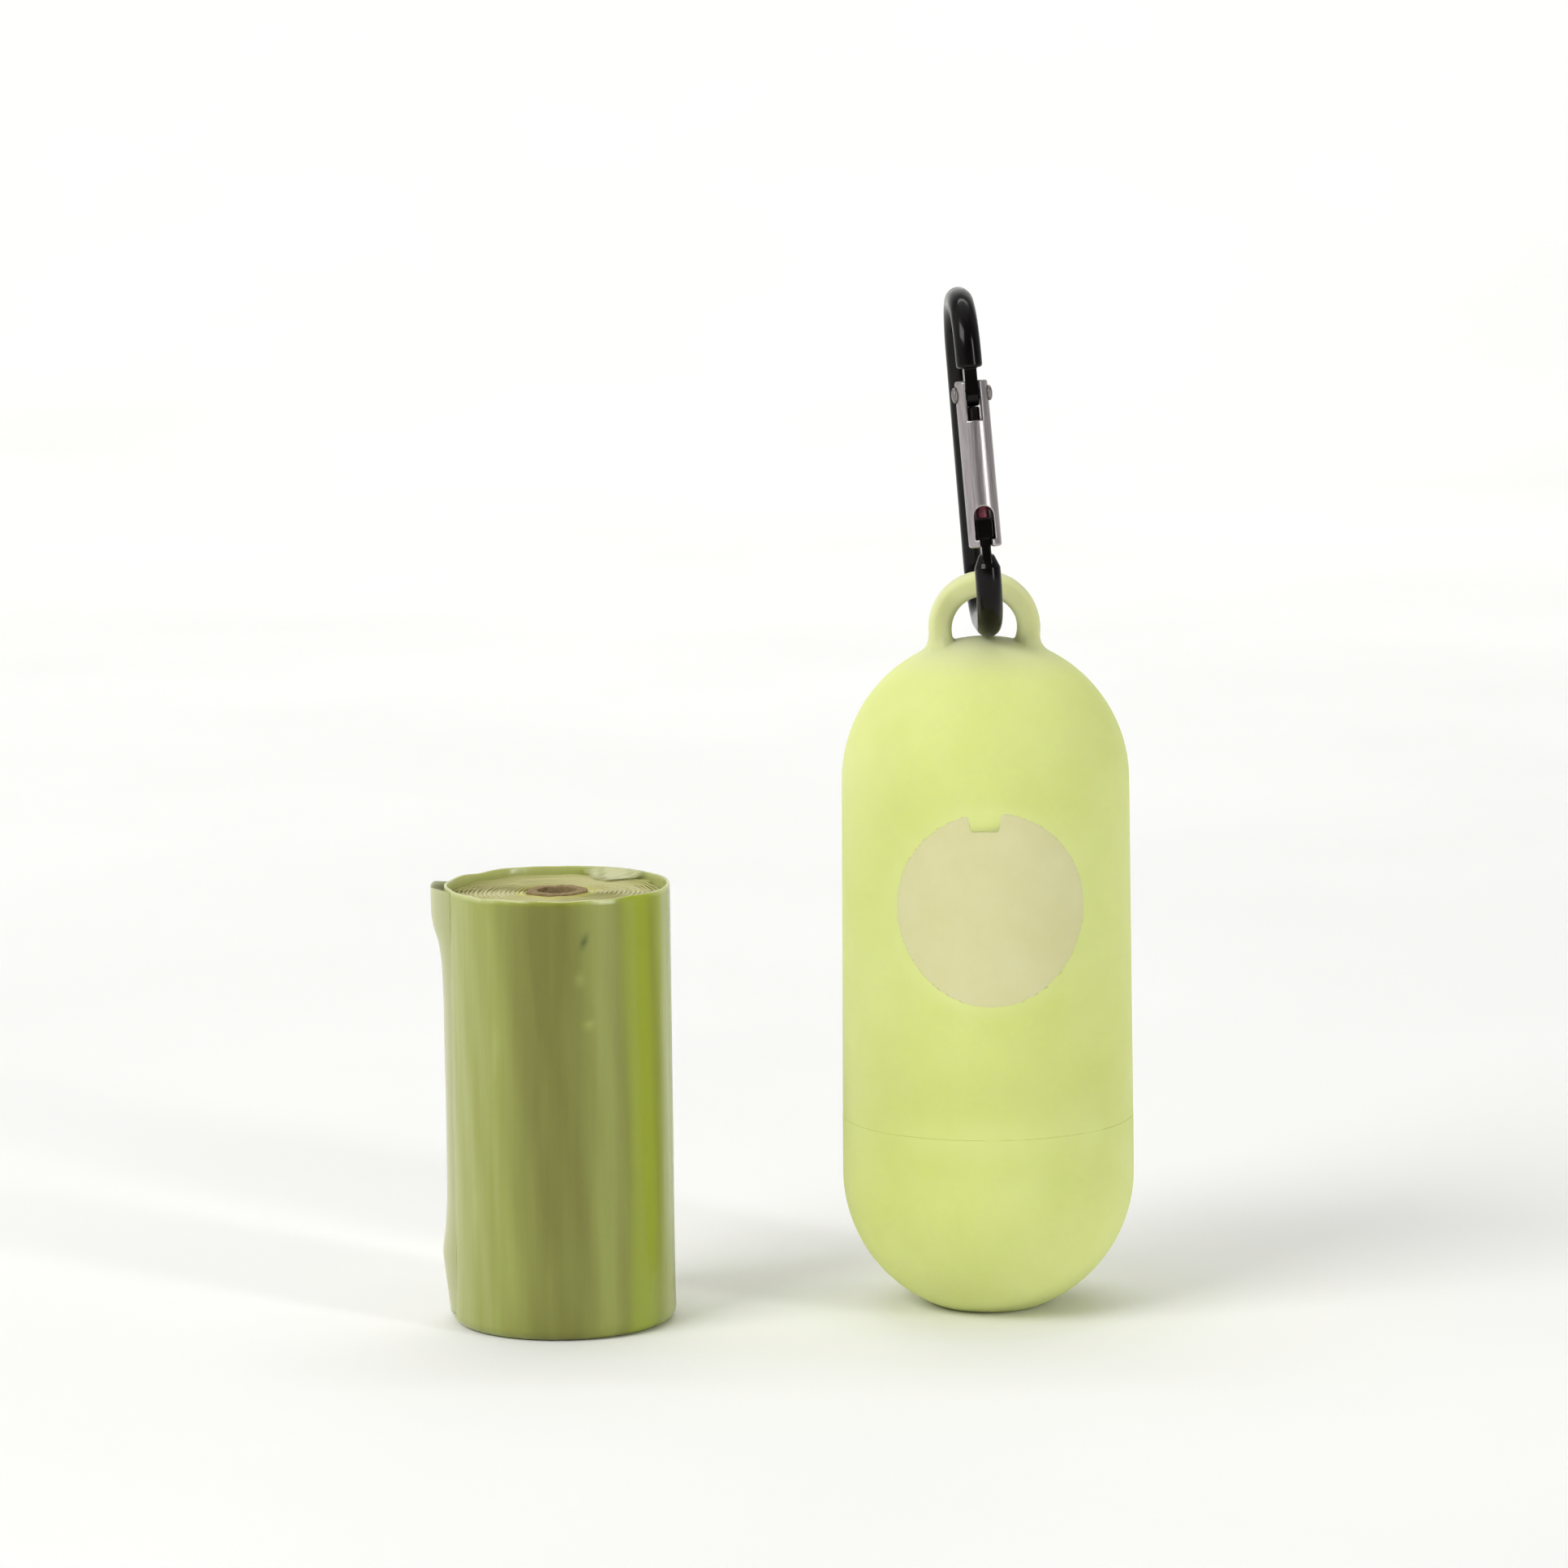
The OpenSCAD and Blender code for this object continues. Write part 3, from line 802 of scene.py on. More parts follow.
def rectangle(y: Array, z: Array, low: tuple, high: tuple) -> Array:
    """Signed distance to a rectangle.

    Args:
        y, z: Coordinates in its plane.
        low, high: Its two corners.

    Returns:
        The distance at each point.
    """
    dy = np.maximum(low[0] - y, y - high[0])
    dz = np.maximum(low[1] - z, z - high[1])
    return np.minimum(np.maximum(dy, dz), 0) + np.hypot(np.maximum(dy, 0), np.maximum(dz, 0))


def graded(stops: list[tuple[float, float]]) -> Array:
    """Grid lines whose spacing changes smoothly.

    Args:
        stops: Positions and the spacing wanted at each.

    Returns:
        Positions of the lines, from the first stop to past the last.
    """
    places, steps = zip(*stops)
    lines = [places[0]]
    while lines[-1] < places[-1]:
        lines.append(lines[-1] + float(np.interp(lines[-1], places, steps)))
    return np.array(lines)


def mirrored(stops: list[tuple[float, float]]) -> Array:
    """Grid lines on both sides of zero, from stops that start at zero."""
    lines = graded(stops)
    return np.concatenate([-lines[:0:-1], lines])


CUBE = [(i, j, k) for i in (0, 1) for j in (0, 1) for k in (0, 1)]
CUBE_EDGES = [
    (a, b) for a in range(8) for b in range(a + 1, 8)
    if sum(abs(CUBE[a][n] - CUBE[b][n]) for n in range(3)) == 1
]


@dataclass
class ImplicitSolid:
    """Solid given by a signed distance, meshed on a grid and pulled onto its surface.

    The points are pulled in a few rounds, by no more than reach in each.
    """

    distance: Field
    xs: Array
    ys: Array
    zs: Array
    probe: float = 0.01
    reach: float = 0.3
    rounds: int = 4

    def gradient(self, points: Array) -> Array:
        """Slope of the distance.

        Args:
            points: Rows of x, y and z in millimetres.

        Returns:
            The slope along x, y and z at each point.
        """
        slope = np.empty_like(points)
        for axis in range(3):
            step = np.zeros(3)
            step[axis] = self.probe
            ahead, behind = points + step, points - step
            slope[:, axis] = self.distance(*ahead.T) - self.distance(*behind.T)
        return slope / (2 * self.probe)

    def crossings(self, values: Array) -> tuple[Array, Array]:
        """One point in each cell that the surface passes through.

        Args:
            values: Distance at every grid point.

        Returns:
            The points, and the number of each cell's point, -1 where it has none.
        """
        inside = values < 0
        nx, ny, nz = values.shape
        count = sum(
            inside[i : nx - 1 + i, j : ny - 1 + j, k : nz - 1 + k].astype(np.int8)
            for i, j, k in CUBE
        )
        active = (count > 0) & (count < 8)
        number = np.full(active.shape, -1)
        ci, cj, ck = np.nonzero(active)
        number[active] = np.arange(len(ci))
        value = [values[ci + i, cj + j, ck + k] for i, j, k in CUBE]
        corner = [
            np.stack([self.xs[ci + i], self.ys[cj + j], self.zs[ck + k]], 1) for i, j, k in CUBE
        ]
        total, hits = np.zeros((len(ci), 3)), np.zeros(len(ci))
        for a, b in CUBE_EDGES:
            cross = (value[a] < 0) != (value[b] < 0)
            gap = np.where(cross, value[a] - value[b], 1.0)
            share = np.where(cross, value[a] / gap, 0.0)[:, None]
            total += np.where(cross[:, None], corner[a] + share * (corner[b] - corner[a]), 0.0)
            hits += cross
        return total / hits[:, None], number

    def faces(self, values: Array, number: Array) -> list:
        """Join the cells' points round every grid edge that the surface cuts.

        Args:
            values: Distance at every grid point.
            number: Number of each cell's point.

        Returns:
            Four point indices of each face, turning left seen from outside.
        """
        inside = values < 0
        quads = []
        for axis in range(3):
            ahead = np.moveaxis(inside, axis, 0)
            cells = np.moveaxis(number, axis, 0)
            if axis == 1:
                ahead, cells = ahead.transpose(0, 2, 1), cells.transpose(0, 2, 1)
            here, there = ahead[:-1, 1:-1, 1:-1], ahead[1:, 1:-1, 1:-1]
            a, b = cells[:, :-1, :-1], cells[:, 1:, :-1]
            c, d = cells[:, 1:, 1:], cells[:, :-1, 1:]
            for cut, order in ((here & ~there, (a, b, c, d)), (~here & there, (d, c, b, a))):
                quads.append(np.stack([part[cut] for part in order], 1))
        return np.concatenate(quads).tolist()

    def build(self, name: str, frame: Matrix | None = None) -> Object:
        """Mesh the solid.

        Args:
            name: Name of the object.
            frame: Matrix in millimetres from the field's frame to the object's.

        Returns:
            The new object.
        """
        values = self.distance(*np.meshgrid(self.xs, self.ys, self.zs, indexing="ij"))
        points, number = self.crossings(values)
        for _ in range(self.rounds):
            slope = self.gradient(points)
            size = np.maximum((slope**2).sum(1), 0.2)
            move = slope * (self.distance(*points.T) / size)[:, None]
            length = np.maximum(np.linalg.norm(move, axis=1, keepdims=True), 1e-9)
            points = points - move * np.minimum(1, self.reach / length)
        normals = self.gradient(points)
        normals /= np.maximum(np.linalg.norm(normals, axis=1, keepdims=True), 1e-9)
        return mesh_object(name, points, self.faces(values, number), frame, normals)


def arc(centre: tuple, radius: float, start: float, end: float, count: int) -> list:
    """Points of an arc, with angles in degrees."""
    turns = np.radians(np.linspace(start, end, count))
    return [(centre[0] + radius * math.cos(t), centre[1] + radius * math.sin(t)) for t in turns]


def softened(corners: list[tuple[float, float, float]], count: int = 5) -> list:
    """Round the inner corners of an open path.

    Args:
        corners: Radius, height and rounding of each corner.
        count: Points on each rounding.

    Returns:
        The path's points.
    """
    path = [corners[0][:2]]
    for before, here, after in zip(corners, corners[1:], corners[2:]):
        p, q, s = Vector(before[:2]), Vector(here[:2]), Vector(after[:2])
        if here[2] <= 0:
            path.append(tuple(q))
            continue
        a, b = (p - q).normalized(), (s - q).normalized()
        half = a.angle(b) / 2
        back = min(here[2] / math.tan(half), 0.49 * (p - q).length, 0.49 * (s - q).length)
        for t in np.linspace(0, 1, count):
            mix = (1 - t) ** 2 * (q + a * back) + 2 * t * (1 - t) * q + t * t * (q + b * back)
            path.append(tuple(mix))
    path.append(corners[-1][:2])
    return path


def divided(path: list, longest: float) -> list:
    """Split a path's long stretches.

    Args:
        path: Points of the path.
        longest: Longest stretch that may stay.

    Returns:
        The points with the new ones between them.
    """
    out = [path[0]]
    for a, b in zip(path, path[1:]):
        parts = max(1, math.ceil(math.dist(a, b) / longest))
        out += [
            (a[0] + (b[0] - a[0]) * i / parts, a[1] + (b[1] - a[1]) * i / parts)
            for i in range(1, parts + 1)
        ]
    return out


@dataclass
class Lathe:
    """Outline turned round an upright axis, with room for small irregularities."""

    path: list
    centre: tuple[float, float] = (0.0, 0.0)
    segments: int = 144
    closed: bool = False
    wobble: Callable[[Array, Array, Array], tuple[Array, Array]] | None = None

    def shape(self) -> tuple[Array, list]:
        """Turn the outline.

        Returns:
            Points in millimetres, and faces that point outwards.
        """
        path = np.array(self.path, dtype=float)
        rows = len(path)
        turn = np.arange(self.segments) * 2 * math.pi / self.segments
        radius = np.repeat(path[:, :1], self.segments, 1)
        height = np.repeat(path[:, 1:], self.segments, 1)
        angle = np.repeat(turn[None, :], rows, 0)
        if self.wobble is not None:
            keep = radius < 1e-6
            radius, height = self.wobble(angle, radius, height)
            radius = np.where(keep, 0.0, radius)
        x = self.centre[0] + radius * np.cos(angle)
        y = self.centre[1] + radius * np.sin(angle)
        points = np.stack([x, y, height], 2).reshape(-1, 3)
        faces = []
        last = rows if self.closed else rows - 1
        poles = {i for i in (0, rows - 1) if not self.closed and path[i, 0] < 1e-6}
        for i in range(last):
            a, b = i * self.segments, (i + 1) % rows * self.segments
            for j in range(self.segments):
                k = (j + 1) % self.segments
                if i in poles:
                    faces.append((a, b + k, b + j))
                elif (i + 1) % rows in poles:
                    faces.append((a + j, a + k, b))
                else:
                    faces.append((a + j, a + k, b + k, b + j))
        return points, faces

    def build(self, name: str, frame: Matrix | None = None) -> Object:
        """Mesh the turned shape.

        Args:
            name: Name of the object.
            frame: Matrix in millimetres that places it.

        Returns:
            The new object, with no loose points.
        """
        points, faces = self.shape()
        used = sorted({index for face in faces for index in face})
        renumber = {old: new for new, old in enumerate(used)}
        faces = [tuple(renumber[index] for index in face) for face in faces]
        return mesh_object(name, points[used], faces, frame)


def ripple(seed: int, waves: int, low: int, high: int) -> Callable[[Array], Array]:
    """Smooth closed wave of an angle, with a fixed seed.

    Args:
        seed: Seed of the wave's phases.
        waves: Number of waves added up.
        low: Fewest turns of a wave.
        high: Most turns of a wave.

    Returns:
        Function of an angle in radians, about -1 to 1.
    """
    rng = np.random.default_rng(seed)
    turns = rng.integers(low, high + 1, waves)
    phases = rng.uniform(0, 2 * math.pi, waves)
    sizes = rng.uniform(0.5, 1, waves)
    sizes /= sizes.sum() * 0.6

    def value(angle: Array) -> Array:
        """Height of the wave at an angle."""
        return sum(s * np.sin(n * angle + p) for s, n, p in zip(sizes, turns, phases))

    return value


def around(centre: tuple[float, float], angle: Array, radius: Array, height: Array) -> Array:
    """Turn angle, radius and height into x, y and z.

    Args:
        centre: Place of the upright axis.
        angle, radius, height: Place of each point round it.

    Returns:
        Rows of x, y and z.
    """
    x, y = centre[0] + radius * np.cos(angle), centre[1] + radius * np.sin(angle)
    return np.stack([x, y, height], 1)


def polar(obj: Object, centre: tuple[float, float]) -> tuple[Array, Array, Array]:
    """Find where an object's points are round an upright axis.

    Args:
        obj: The object.
        centre: Place of the axis in millimetres.

    Returns:
        Angle in radians, and radius and height in millimetres.
    """
    x, y, z = np.array([v.co[:] for v in obj.data.vertices]).T / MM
    x, y = x - centre[0], y - centre[1]
    return np.arctan2(y, x), np.hypot(x, y), z


def half_turn(degrees: Array) -> Array:
    """Bring angles between -180 and 180 degrees."""
    return (degrees + 180) % 360 - 180


def risen(value: Array | float, start: float, over: float) -> Array:
    """Share of the way from a start over a stretch, from 0 to 1."""
    return np.clip((value - start) / over, 0, 1)


def eased(share: Array) -> Array:
    """Ease a share in and out."""
    return share * share * (3 - 2 * share)


def set_air(
    obj: Object, air: Array, taut: Array | None = None, pinch: Array | None = None,
) -> None:
    """Store how the film lies at each point, for its finish to read.

    Args:
        obj: The film.
        air: Share of trapped air, with painted light mixed in on the spare wrap.
        taut: Share of stretched film, or None for none.
        pinch: Share of the painted shadow of a small crease, or None for none.
    """
    for name, values in (("air", air), ("taut", taut), ("pinch", pinch)):
        values = np.zeros_like(air) if values is None else values
        layer = obj.data.attributes.new(name, "FLOAT", "POINT")
        layer.data.foreach_set("value", np.clip(values, 0, 1).astype(np.float32))


def film_sheet(
    name: str, grid: Array, air: Array, thickness: float,
) -> tuple[Object, tuple[float, float]]:
    """Make a thin film from a grid of points.

    Args:
        name: Name of the object.
        grid: Rows of points in millimetres.
        air: Share of trapped air at each point.
        thickness: Thickness of the film in millimetres.

    Returns:
        The new object, and its flat width and length in metres.
    """
    rows, span = grid.shape[:2]
    width = float(np.linalg.norm(np.diff(grid, axis=1), axis=2).sum(1).mean())
    length = float(np.linalg.norm(np.diff(grid, axis=0), axis=2).sum(0).mean())
    faces = [
        (i * span + j, i * span + j + 1, (i + 1) * span + j + 1, (i + 1) * span + j)
        for i in range(rows - 1) for j in range(span - 1)
    ]
    film = mesh_object(name, grid.reshape(-1, 3), faces)
    set_air(film, air.reshape(-1))
    solid = film.modifiers.new("film", "SOLIDIFY")
    solid.thickness = thickness * MM
    solid.offset = 0
    return film, (width * MM, length * MM)


def start_nodes(name: str, sizes: dict[str, float]) -> tuple[Tree, Node, dict[str, float]]:
    """Start a geometry tree with named inputs.

    Args:
        name: Name of the tree.
        sizes: Value of each input by its name.

    Returns:
        The tree, the node that hands out its inputs, and their values by socket identifier.
    """
    tree = bpy.data.node_groups.new(name, "GeometryNodeTree")
    values = {}
    for title, value in sizes.items():
        socket = tree.interface.new_socket(title, in_out="INPUT", socket_type="NodeSocketFloat")
        values[socket.identifier] = value
    tree.interface.new_socket("Piece", in_out="OUTPUT", socket_type="NodeSocketGeometry")
    return tree, add_node(tree, "NodeGroupInput"), values


def solve_nodes(
    name: str, tree: Tree, shape: Socket, values: dict[str, float], material: Material,
    frame: Matrix,
) -> Object:
    """End a geometry tree, run it once and keep its result as a plain mesh.

    Args:
        name: Name of the object.
        tree: The geometry tree.
        shape: Output that gives the finished shape.
        values: Input values by socket identifier.
        material: Finish of the piece.
        frame: Matrix in millimetres that places it.

    Returns:
        The new object, at the origin.
    """
    real = add_node(tree, "GeometryNodeRealizeInstances", links={0: shape})
    dressed = add_node(
        tree, "GeometryNodeSetMaterial", inputs={"Material": material},
        links={"Geometry": real.outputs["Geometry"]},
    )
    add_node(tree, "NodeGroupOutput", links={0: dressed.outputs["Geometry"]})
    holder = bpy.data.objects.new(name + "_nodes", bpy.data.meshes.new(name + "_in"))
    bpy.context.scene.collection.objects.link(holder)
    modifier = holder.modifiers.new("build", "NODES")
    modifier.node_group = tree
    for identifier, value in values.items():
        modifier[identifier] = value
    bpy.context.view_layer.update()
    depsgraph = bpy.context.evaluated_depsgraph_get()
    mesh = bpy.data.meshes.new_from_object(holder.evaluated_get(depsgraph), depsgraph=depsgraph)
    holder.modifiers.remove(modifier)
    bpy.data.objects.remove(holder)
    mesh.name = name
    matrix = frame.copy()
    matrix.translation = frame.translation * MM
    mesh.transform(matrix)
    sides = bmesh.new()
    sides.from_mesh(mesh)
    bmesh.ops.recalc_face_normals(sides, faces=sides.faces)
    sides.to_mesh(mesh)
    sides.free()
    obj = bpy.data.objects.new(name, mesh)
    bpy.context.scene.collection.objects.link(obj)
    return obj


# ---- capsule


@dataclass(frozen=True)
class Skin:
    """Outside of the closed capsule: a ball at each end and a slight cone between them."""

    low_z: float = 18.628
    top_z: float = 72.528
    low_r: float = 19.9
    top_r: float = 19.5

    def radius(self, z: float) -> float:
        """Radius of the cone at a height."""
        return self.low_r - (z - self.low_z) * (self.low_r - self.top_r) / (self.top_z - self.low_z)

    def distance(self, x: Array, y: Array, z: Array) -> Array:
        """Signed distance to the capsule's outside.

        Args:
            x, y, z: Coordinates in millimetres.

        Returns:
            The distance at each point.
        """
        q, p = np.hypot(x, y), z - self.low_z
        h = self.top_z - self.low_z
        b = (self.low_r - self.top_r) / h
        a = math.sqrt(1 - b * b)
        k = a * p - b * q
        side = a * q + b * p - self.low_r
        low = np.hypot(q, p) - self.low_r
        high = np.hypot(q, p - h) - self.top_r
        return np.where(k < 0, low, np.where(k > a * h, high, side))


@dataclass(frozen=True)
class FrontDisc:
    """Pale disc let into the sleeve's front, with a keyed notch at its top."""

    skin: Skin = Skin()
    centre_z: float = 57.7
    half_w: float = 12.53
    half_h: float = 13.2
    notch_x: float = -0.8
    notch_rim: float = 2.2
    notch_floor: float = 1.85
    notch_depth: float = 2.6
    thickness: float = 1.0
    proud: float = 0.03
    edge_round: float = 0.06
    seat_inset: float = 0.5
    notch_round: float = 0.35
    corner_round: float = 0.4

    def outline(self, x: Array, z: Array) -> Array:
        """Signed distance to the keyed outline in the front view.

        Args:
            x, z: Coordinates in the front view.

        Returns:
            The distance at each point.
        """
        u, v = x / self.half_w, (z - self.centre_z) / self.half_h
        size = np.hypot(u, v)
        steep = np.maximum(np.hypot(u / self.half_w, v / self.half_h), 1e-6)
        oval = size * (size - 1) / steep
        rise = z - self.centre_z - self.half_h + self.notch_depth
        half = self.notch_floor + (self.notch_rim - self.notch_floor) * rise / self.notch_depth
        notch = round_max(np.abs(x - self.notch_x) - half, -rise, self.notch_round)
        return round_max(oval, -notch, self.corner_round)

    def pocket(self, x: Array, y: Array, z: Array, skin: Array) -> Array:
        """Signed distance to the seat under the disc, a little smaller than the disc."""
        seat = np.maximum(self.outline(x, z) + self.seat_inset, -(skin + self.thickness))
        return np.maximum(seat, y)

    def solid(self, x: Array, y: Array, z: Array) -> Array:
        """Signed distance to the disc, curved like the sleeve.

        Args:
            x, y, z: Coordinates in millimetres.

        Returns:
            The distance at each point.
        """
        skin = self.skin.distance(x, y, z)
        face = round_max(self.outline(x, z), skin - self.proud, self.edge_round)
        return np.maximum(np.maximum(face, -(skin + self.thickness)), y)

    def build(self) -> None:
        """Build the disc and dress it."""
        solid = ImplicitSolid(
            self.solid,
            xs=graded([(-13.2, 0.2), (-9, 0.3), (-3.6, 0.3), (-3.2, 0.16), (1.7, 0.16), (2.1, 0.3),
                       (9, 0.3), (13.2, 0.2)]),
            ys=graded([(-20.3, 0.2), (-13.4, 0.3)]),
            zs=graded([(44, 0.25), (66.5, 0.3), (67.5, 0.16), (71.6, 0.16)]),
        )
        place(solid.build("disc_face"), "sleeve", PrintedPad("cream_pad").build(),
              ("front_disc",))


@dataclass
class Capsule:
    """Soft cup and sleeve that close over the roll, with the hanging ear on the dome.

    The ear's fillet grows from root_fillet by side_fillet: beside the ear and in front of it. Each
    of the three stretches over which it grows is a start and a length.
    """

    skin: Skin = Skin()
    disc: FrontDisc = FrontDisc()
    wall: float = 2.6
    floor_t: float = 3.0
    seam_z: float = 26.5
    sleeve_lip: float = 26.42
    cup_lip: float = 26.47
    lip_proud: float = 0.02
    collar_r: float = 18.14
    collar_wall: float = 1.6
    collar_top: float = 34.5
    collar_root: float = 3.0
    collar_room: float = 0.3
    lip_round: float = 0.02
    slot_half: float = 2.46
    slot_top: float = 64.0
    ear_z: float = 93.328
    ear_r: float = 7.55
    ear_t: float = 4.2
    ear_round: float = 0.9
    hole_z: float = 93.228
    hole_r: float = 4.45
    root_fillet: float = 0.3
    side_fillet: float = 1.7
    front_share: float = 0.8
    beside: tuple[float, float] = (5.6, 1.6)
    before: tuple[float, float] = (1.3, 0.7)
    corner: tuple[float, float] = (4.5, 1.0)
    slot_round: float = 0.35
    recess_room: float = 0.05

    def ear(self, x: Array, y: Array, z: Array) -> Array:
        """Signed distance to the flat ear with its round hole.

        Args:
            x, y, z: Coordinates in millimetres.

        Returns:
            The distance at each point.
        """
        ring = np.hypot(x, z - self.ear_z) - self.ear_r
        hole = np.hypot(x, z - self.hole_z) - self.hole_r
        plate = np.maximum(ring, -hole)
        return rounded_slab(plate, y, self.ear_t / 2, self.ear_round)

    def slot(self, x: Array, y: Array, z: Array) -> Array:
        """Signed distance to the outlet slot behind.

        Args:
            x, y, z: Coordinates in millimetres.

        Returns:
            The distance at each point.
        """
        centre = self.slot_top - self.slot_half
        arch = np.hypot(x, np.maximum(z - centre, 0)) - self.slot_half
        return np.maximum(arch, -y)

    def sleeve(self, x: Array, y: Array, z: Array) -> Array:
        """Signed distance to the sleeve.

        Args:
            x, y, z: Coordinates in millimetres.

        Returns:
            The distance at each point.
        """
        skin = self.skin.distance(x, y, z)
        beside = risen(np.abs(x), *self.beside)
        before = risen(np.abs(y), *self.before) * risen(np.abs(x), *self.corner)
        fillet = self.root_fillet + self.side_fillet * np.maximum(
            beside, self.front_share * before)
        body = round_min(skin, self.ear(x, y, z), fillet)
        recess = np.maximum(
            np.hypot(x, y) - self.collar_r - self.recess_room,
            z - self.collar_top - self.collar_room,
        )
        body = np.maximum(body, -np.minimum(skin + self.wall, recess))
        body = round_max(body, self.sleeve_lip - z, self.lip_round)
        body = round_max(body, -self.slot(x, y, z), self.slot_round)
        return np.maximum(body, -self.disc.pocket(x, y, z, skin))

    def build_sleeve(self) -> Object:
        """Build the upper sleeve with dome, ear, slot and the disc's seat.

        Returns:
            The new object.
        """
        side = [(0, 0.36), (1.9, 0.36), (2.2, 0.18), (2.8, 0.18), (3.2, 0.36), (8.4, 0.36)]
        solid = ImplicitSolid(
            self.sleeve,
            xs=mirrored(side + [(9.5, 0.52), (18.5, 0.5), (20.3, 0.35)]),
            ys=mirrored([(0, 0.4), (1.2, 0.3), (2.4, 0.25), (4, 0.45), (18.5, 0.5), (20.3, 0.35)]),
            zs=graded([
                (26.1, 0.08), (27.0, 0.08), (29.0, 0.5), (33.6, 0.6), (34.4, 0.25), (35.2, 0.25),
                (37.0, 0.9), (43.0, 0.85), (60.0, 0.8), (61.5, 0.4), (64.5, 0.4), (67.0, 0.8),
                (76.0, 0.65), (88.0, 0.48), (90.5, 0.33), (101.6, 0.33),
            ]),
        )
        return solid.build("sleeve_body")

    def build_cup(self) -> Object:
        """Build the lower cup with its flat foot and the collar inside the sleeve.

        Returns:
            The new object.
        """
        low_r, low_z = self.skin.low_r, self.skin.low_z
        foot = math.sqrt(low_r**2 - low_z**2)
        start = math.degrees(math.asin(-low_z / low_r)) + 2.4
        ball = arc((0, low_z), low_r, start, 0, 34)
        outside = softened([(0, 0, 0), (foot, 0, 3.0), ball[0] + (0,)], 4)[:-1] + ball
        seam = self.cup_lip
        lip_r = self.skin.radius(seam) + self.lip_proud
        inner_r = self.collar_r - self.collar_wall
        ball_r = low_r - self.wall
        root_z = self.seam_z - self.collar_root
        floor_r = math.sqrt(ball_r**2 - (low_z - self.floor_t) ** 2)
        rim = softened([
            outside[-1] + (0,), (lip_r, seam - 0.25, 0), (lip_r, seam, self.lip_round + 0.02),
            (self.collar_r, seam, 0.1), (self.collar_r, self.collar_top, 0.4),
            (inner_r, self.collar_top, 0.4), (inner_r, root_z, 0.3),
            (ball_r, root_z - 0.8, 0.3), (ball_r, low_z, 0),
        ])
        end = math.degrees(math.asin((self.floor_t - low_z) / ball_r))
        inside = arc((0, low_z), ball_r, 0, end + 2, 26)
        inside += softened([inside[-1] + (0,), (floor_r, self.floor_t, 1.0),
                            (0, self.floor_t, 0)])[1:]
        path = outside[:-1] + rim[:-1] + inside
        return Lathe(divided(path, 1.4), segments=192).build("cup_body")

    def build(self) -> None:
        """Build both soft parts and dress them."""
        material = MouldedSilicone("lime_silicone").build()
        place(self.build_sleeve(), "sleeve", material, ("sleeve_shell",))
        place(self.build_cup(), "cup", material, ("bottom_cup",))


# ---- clip


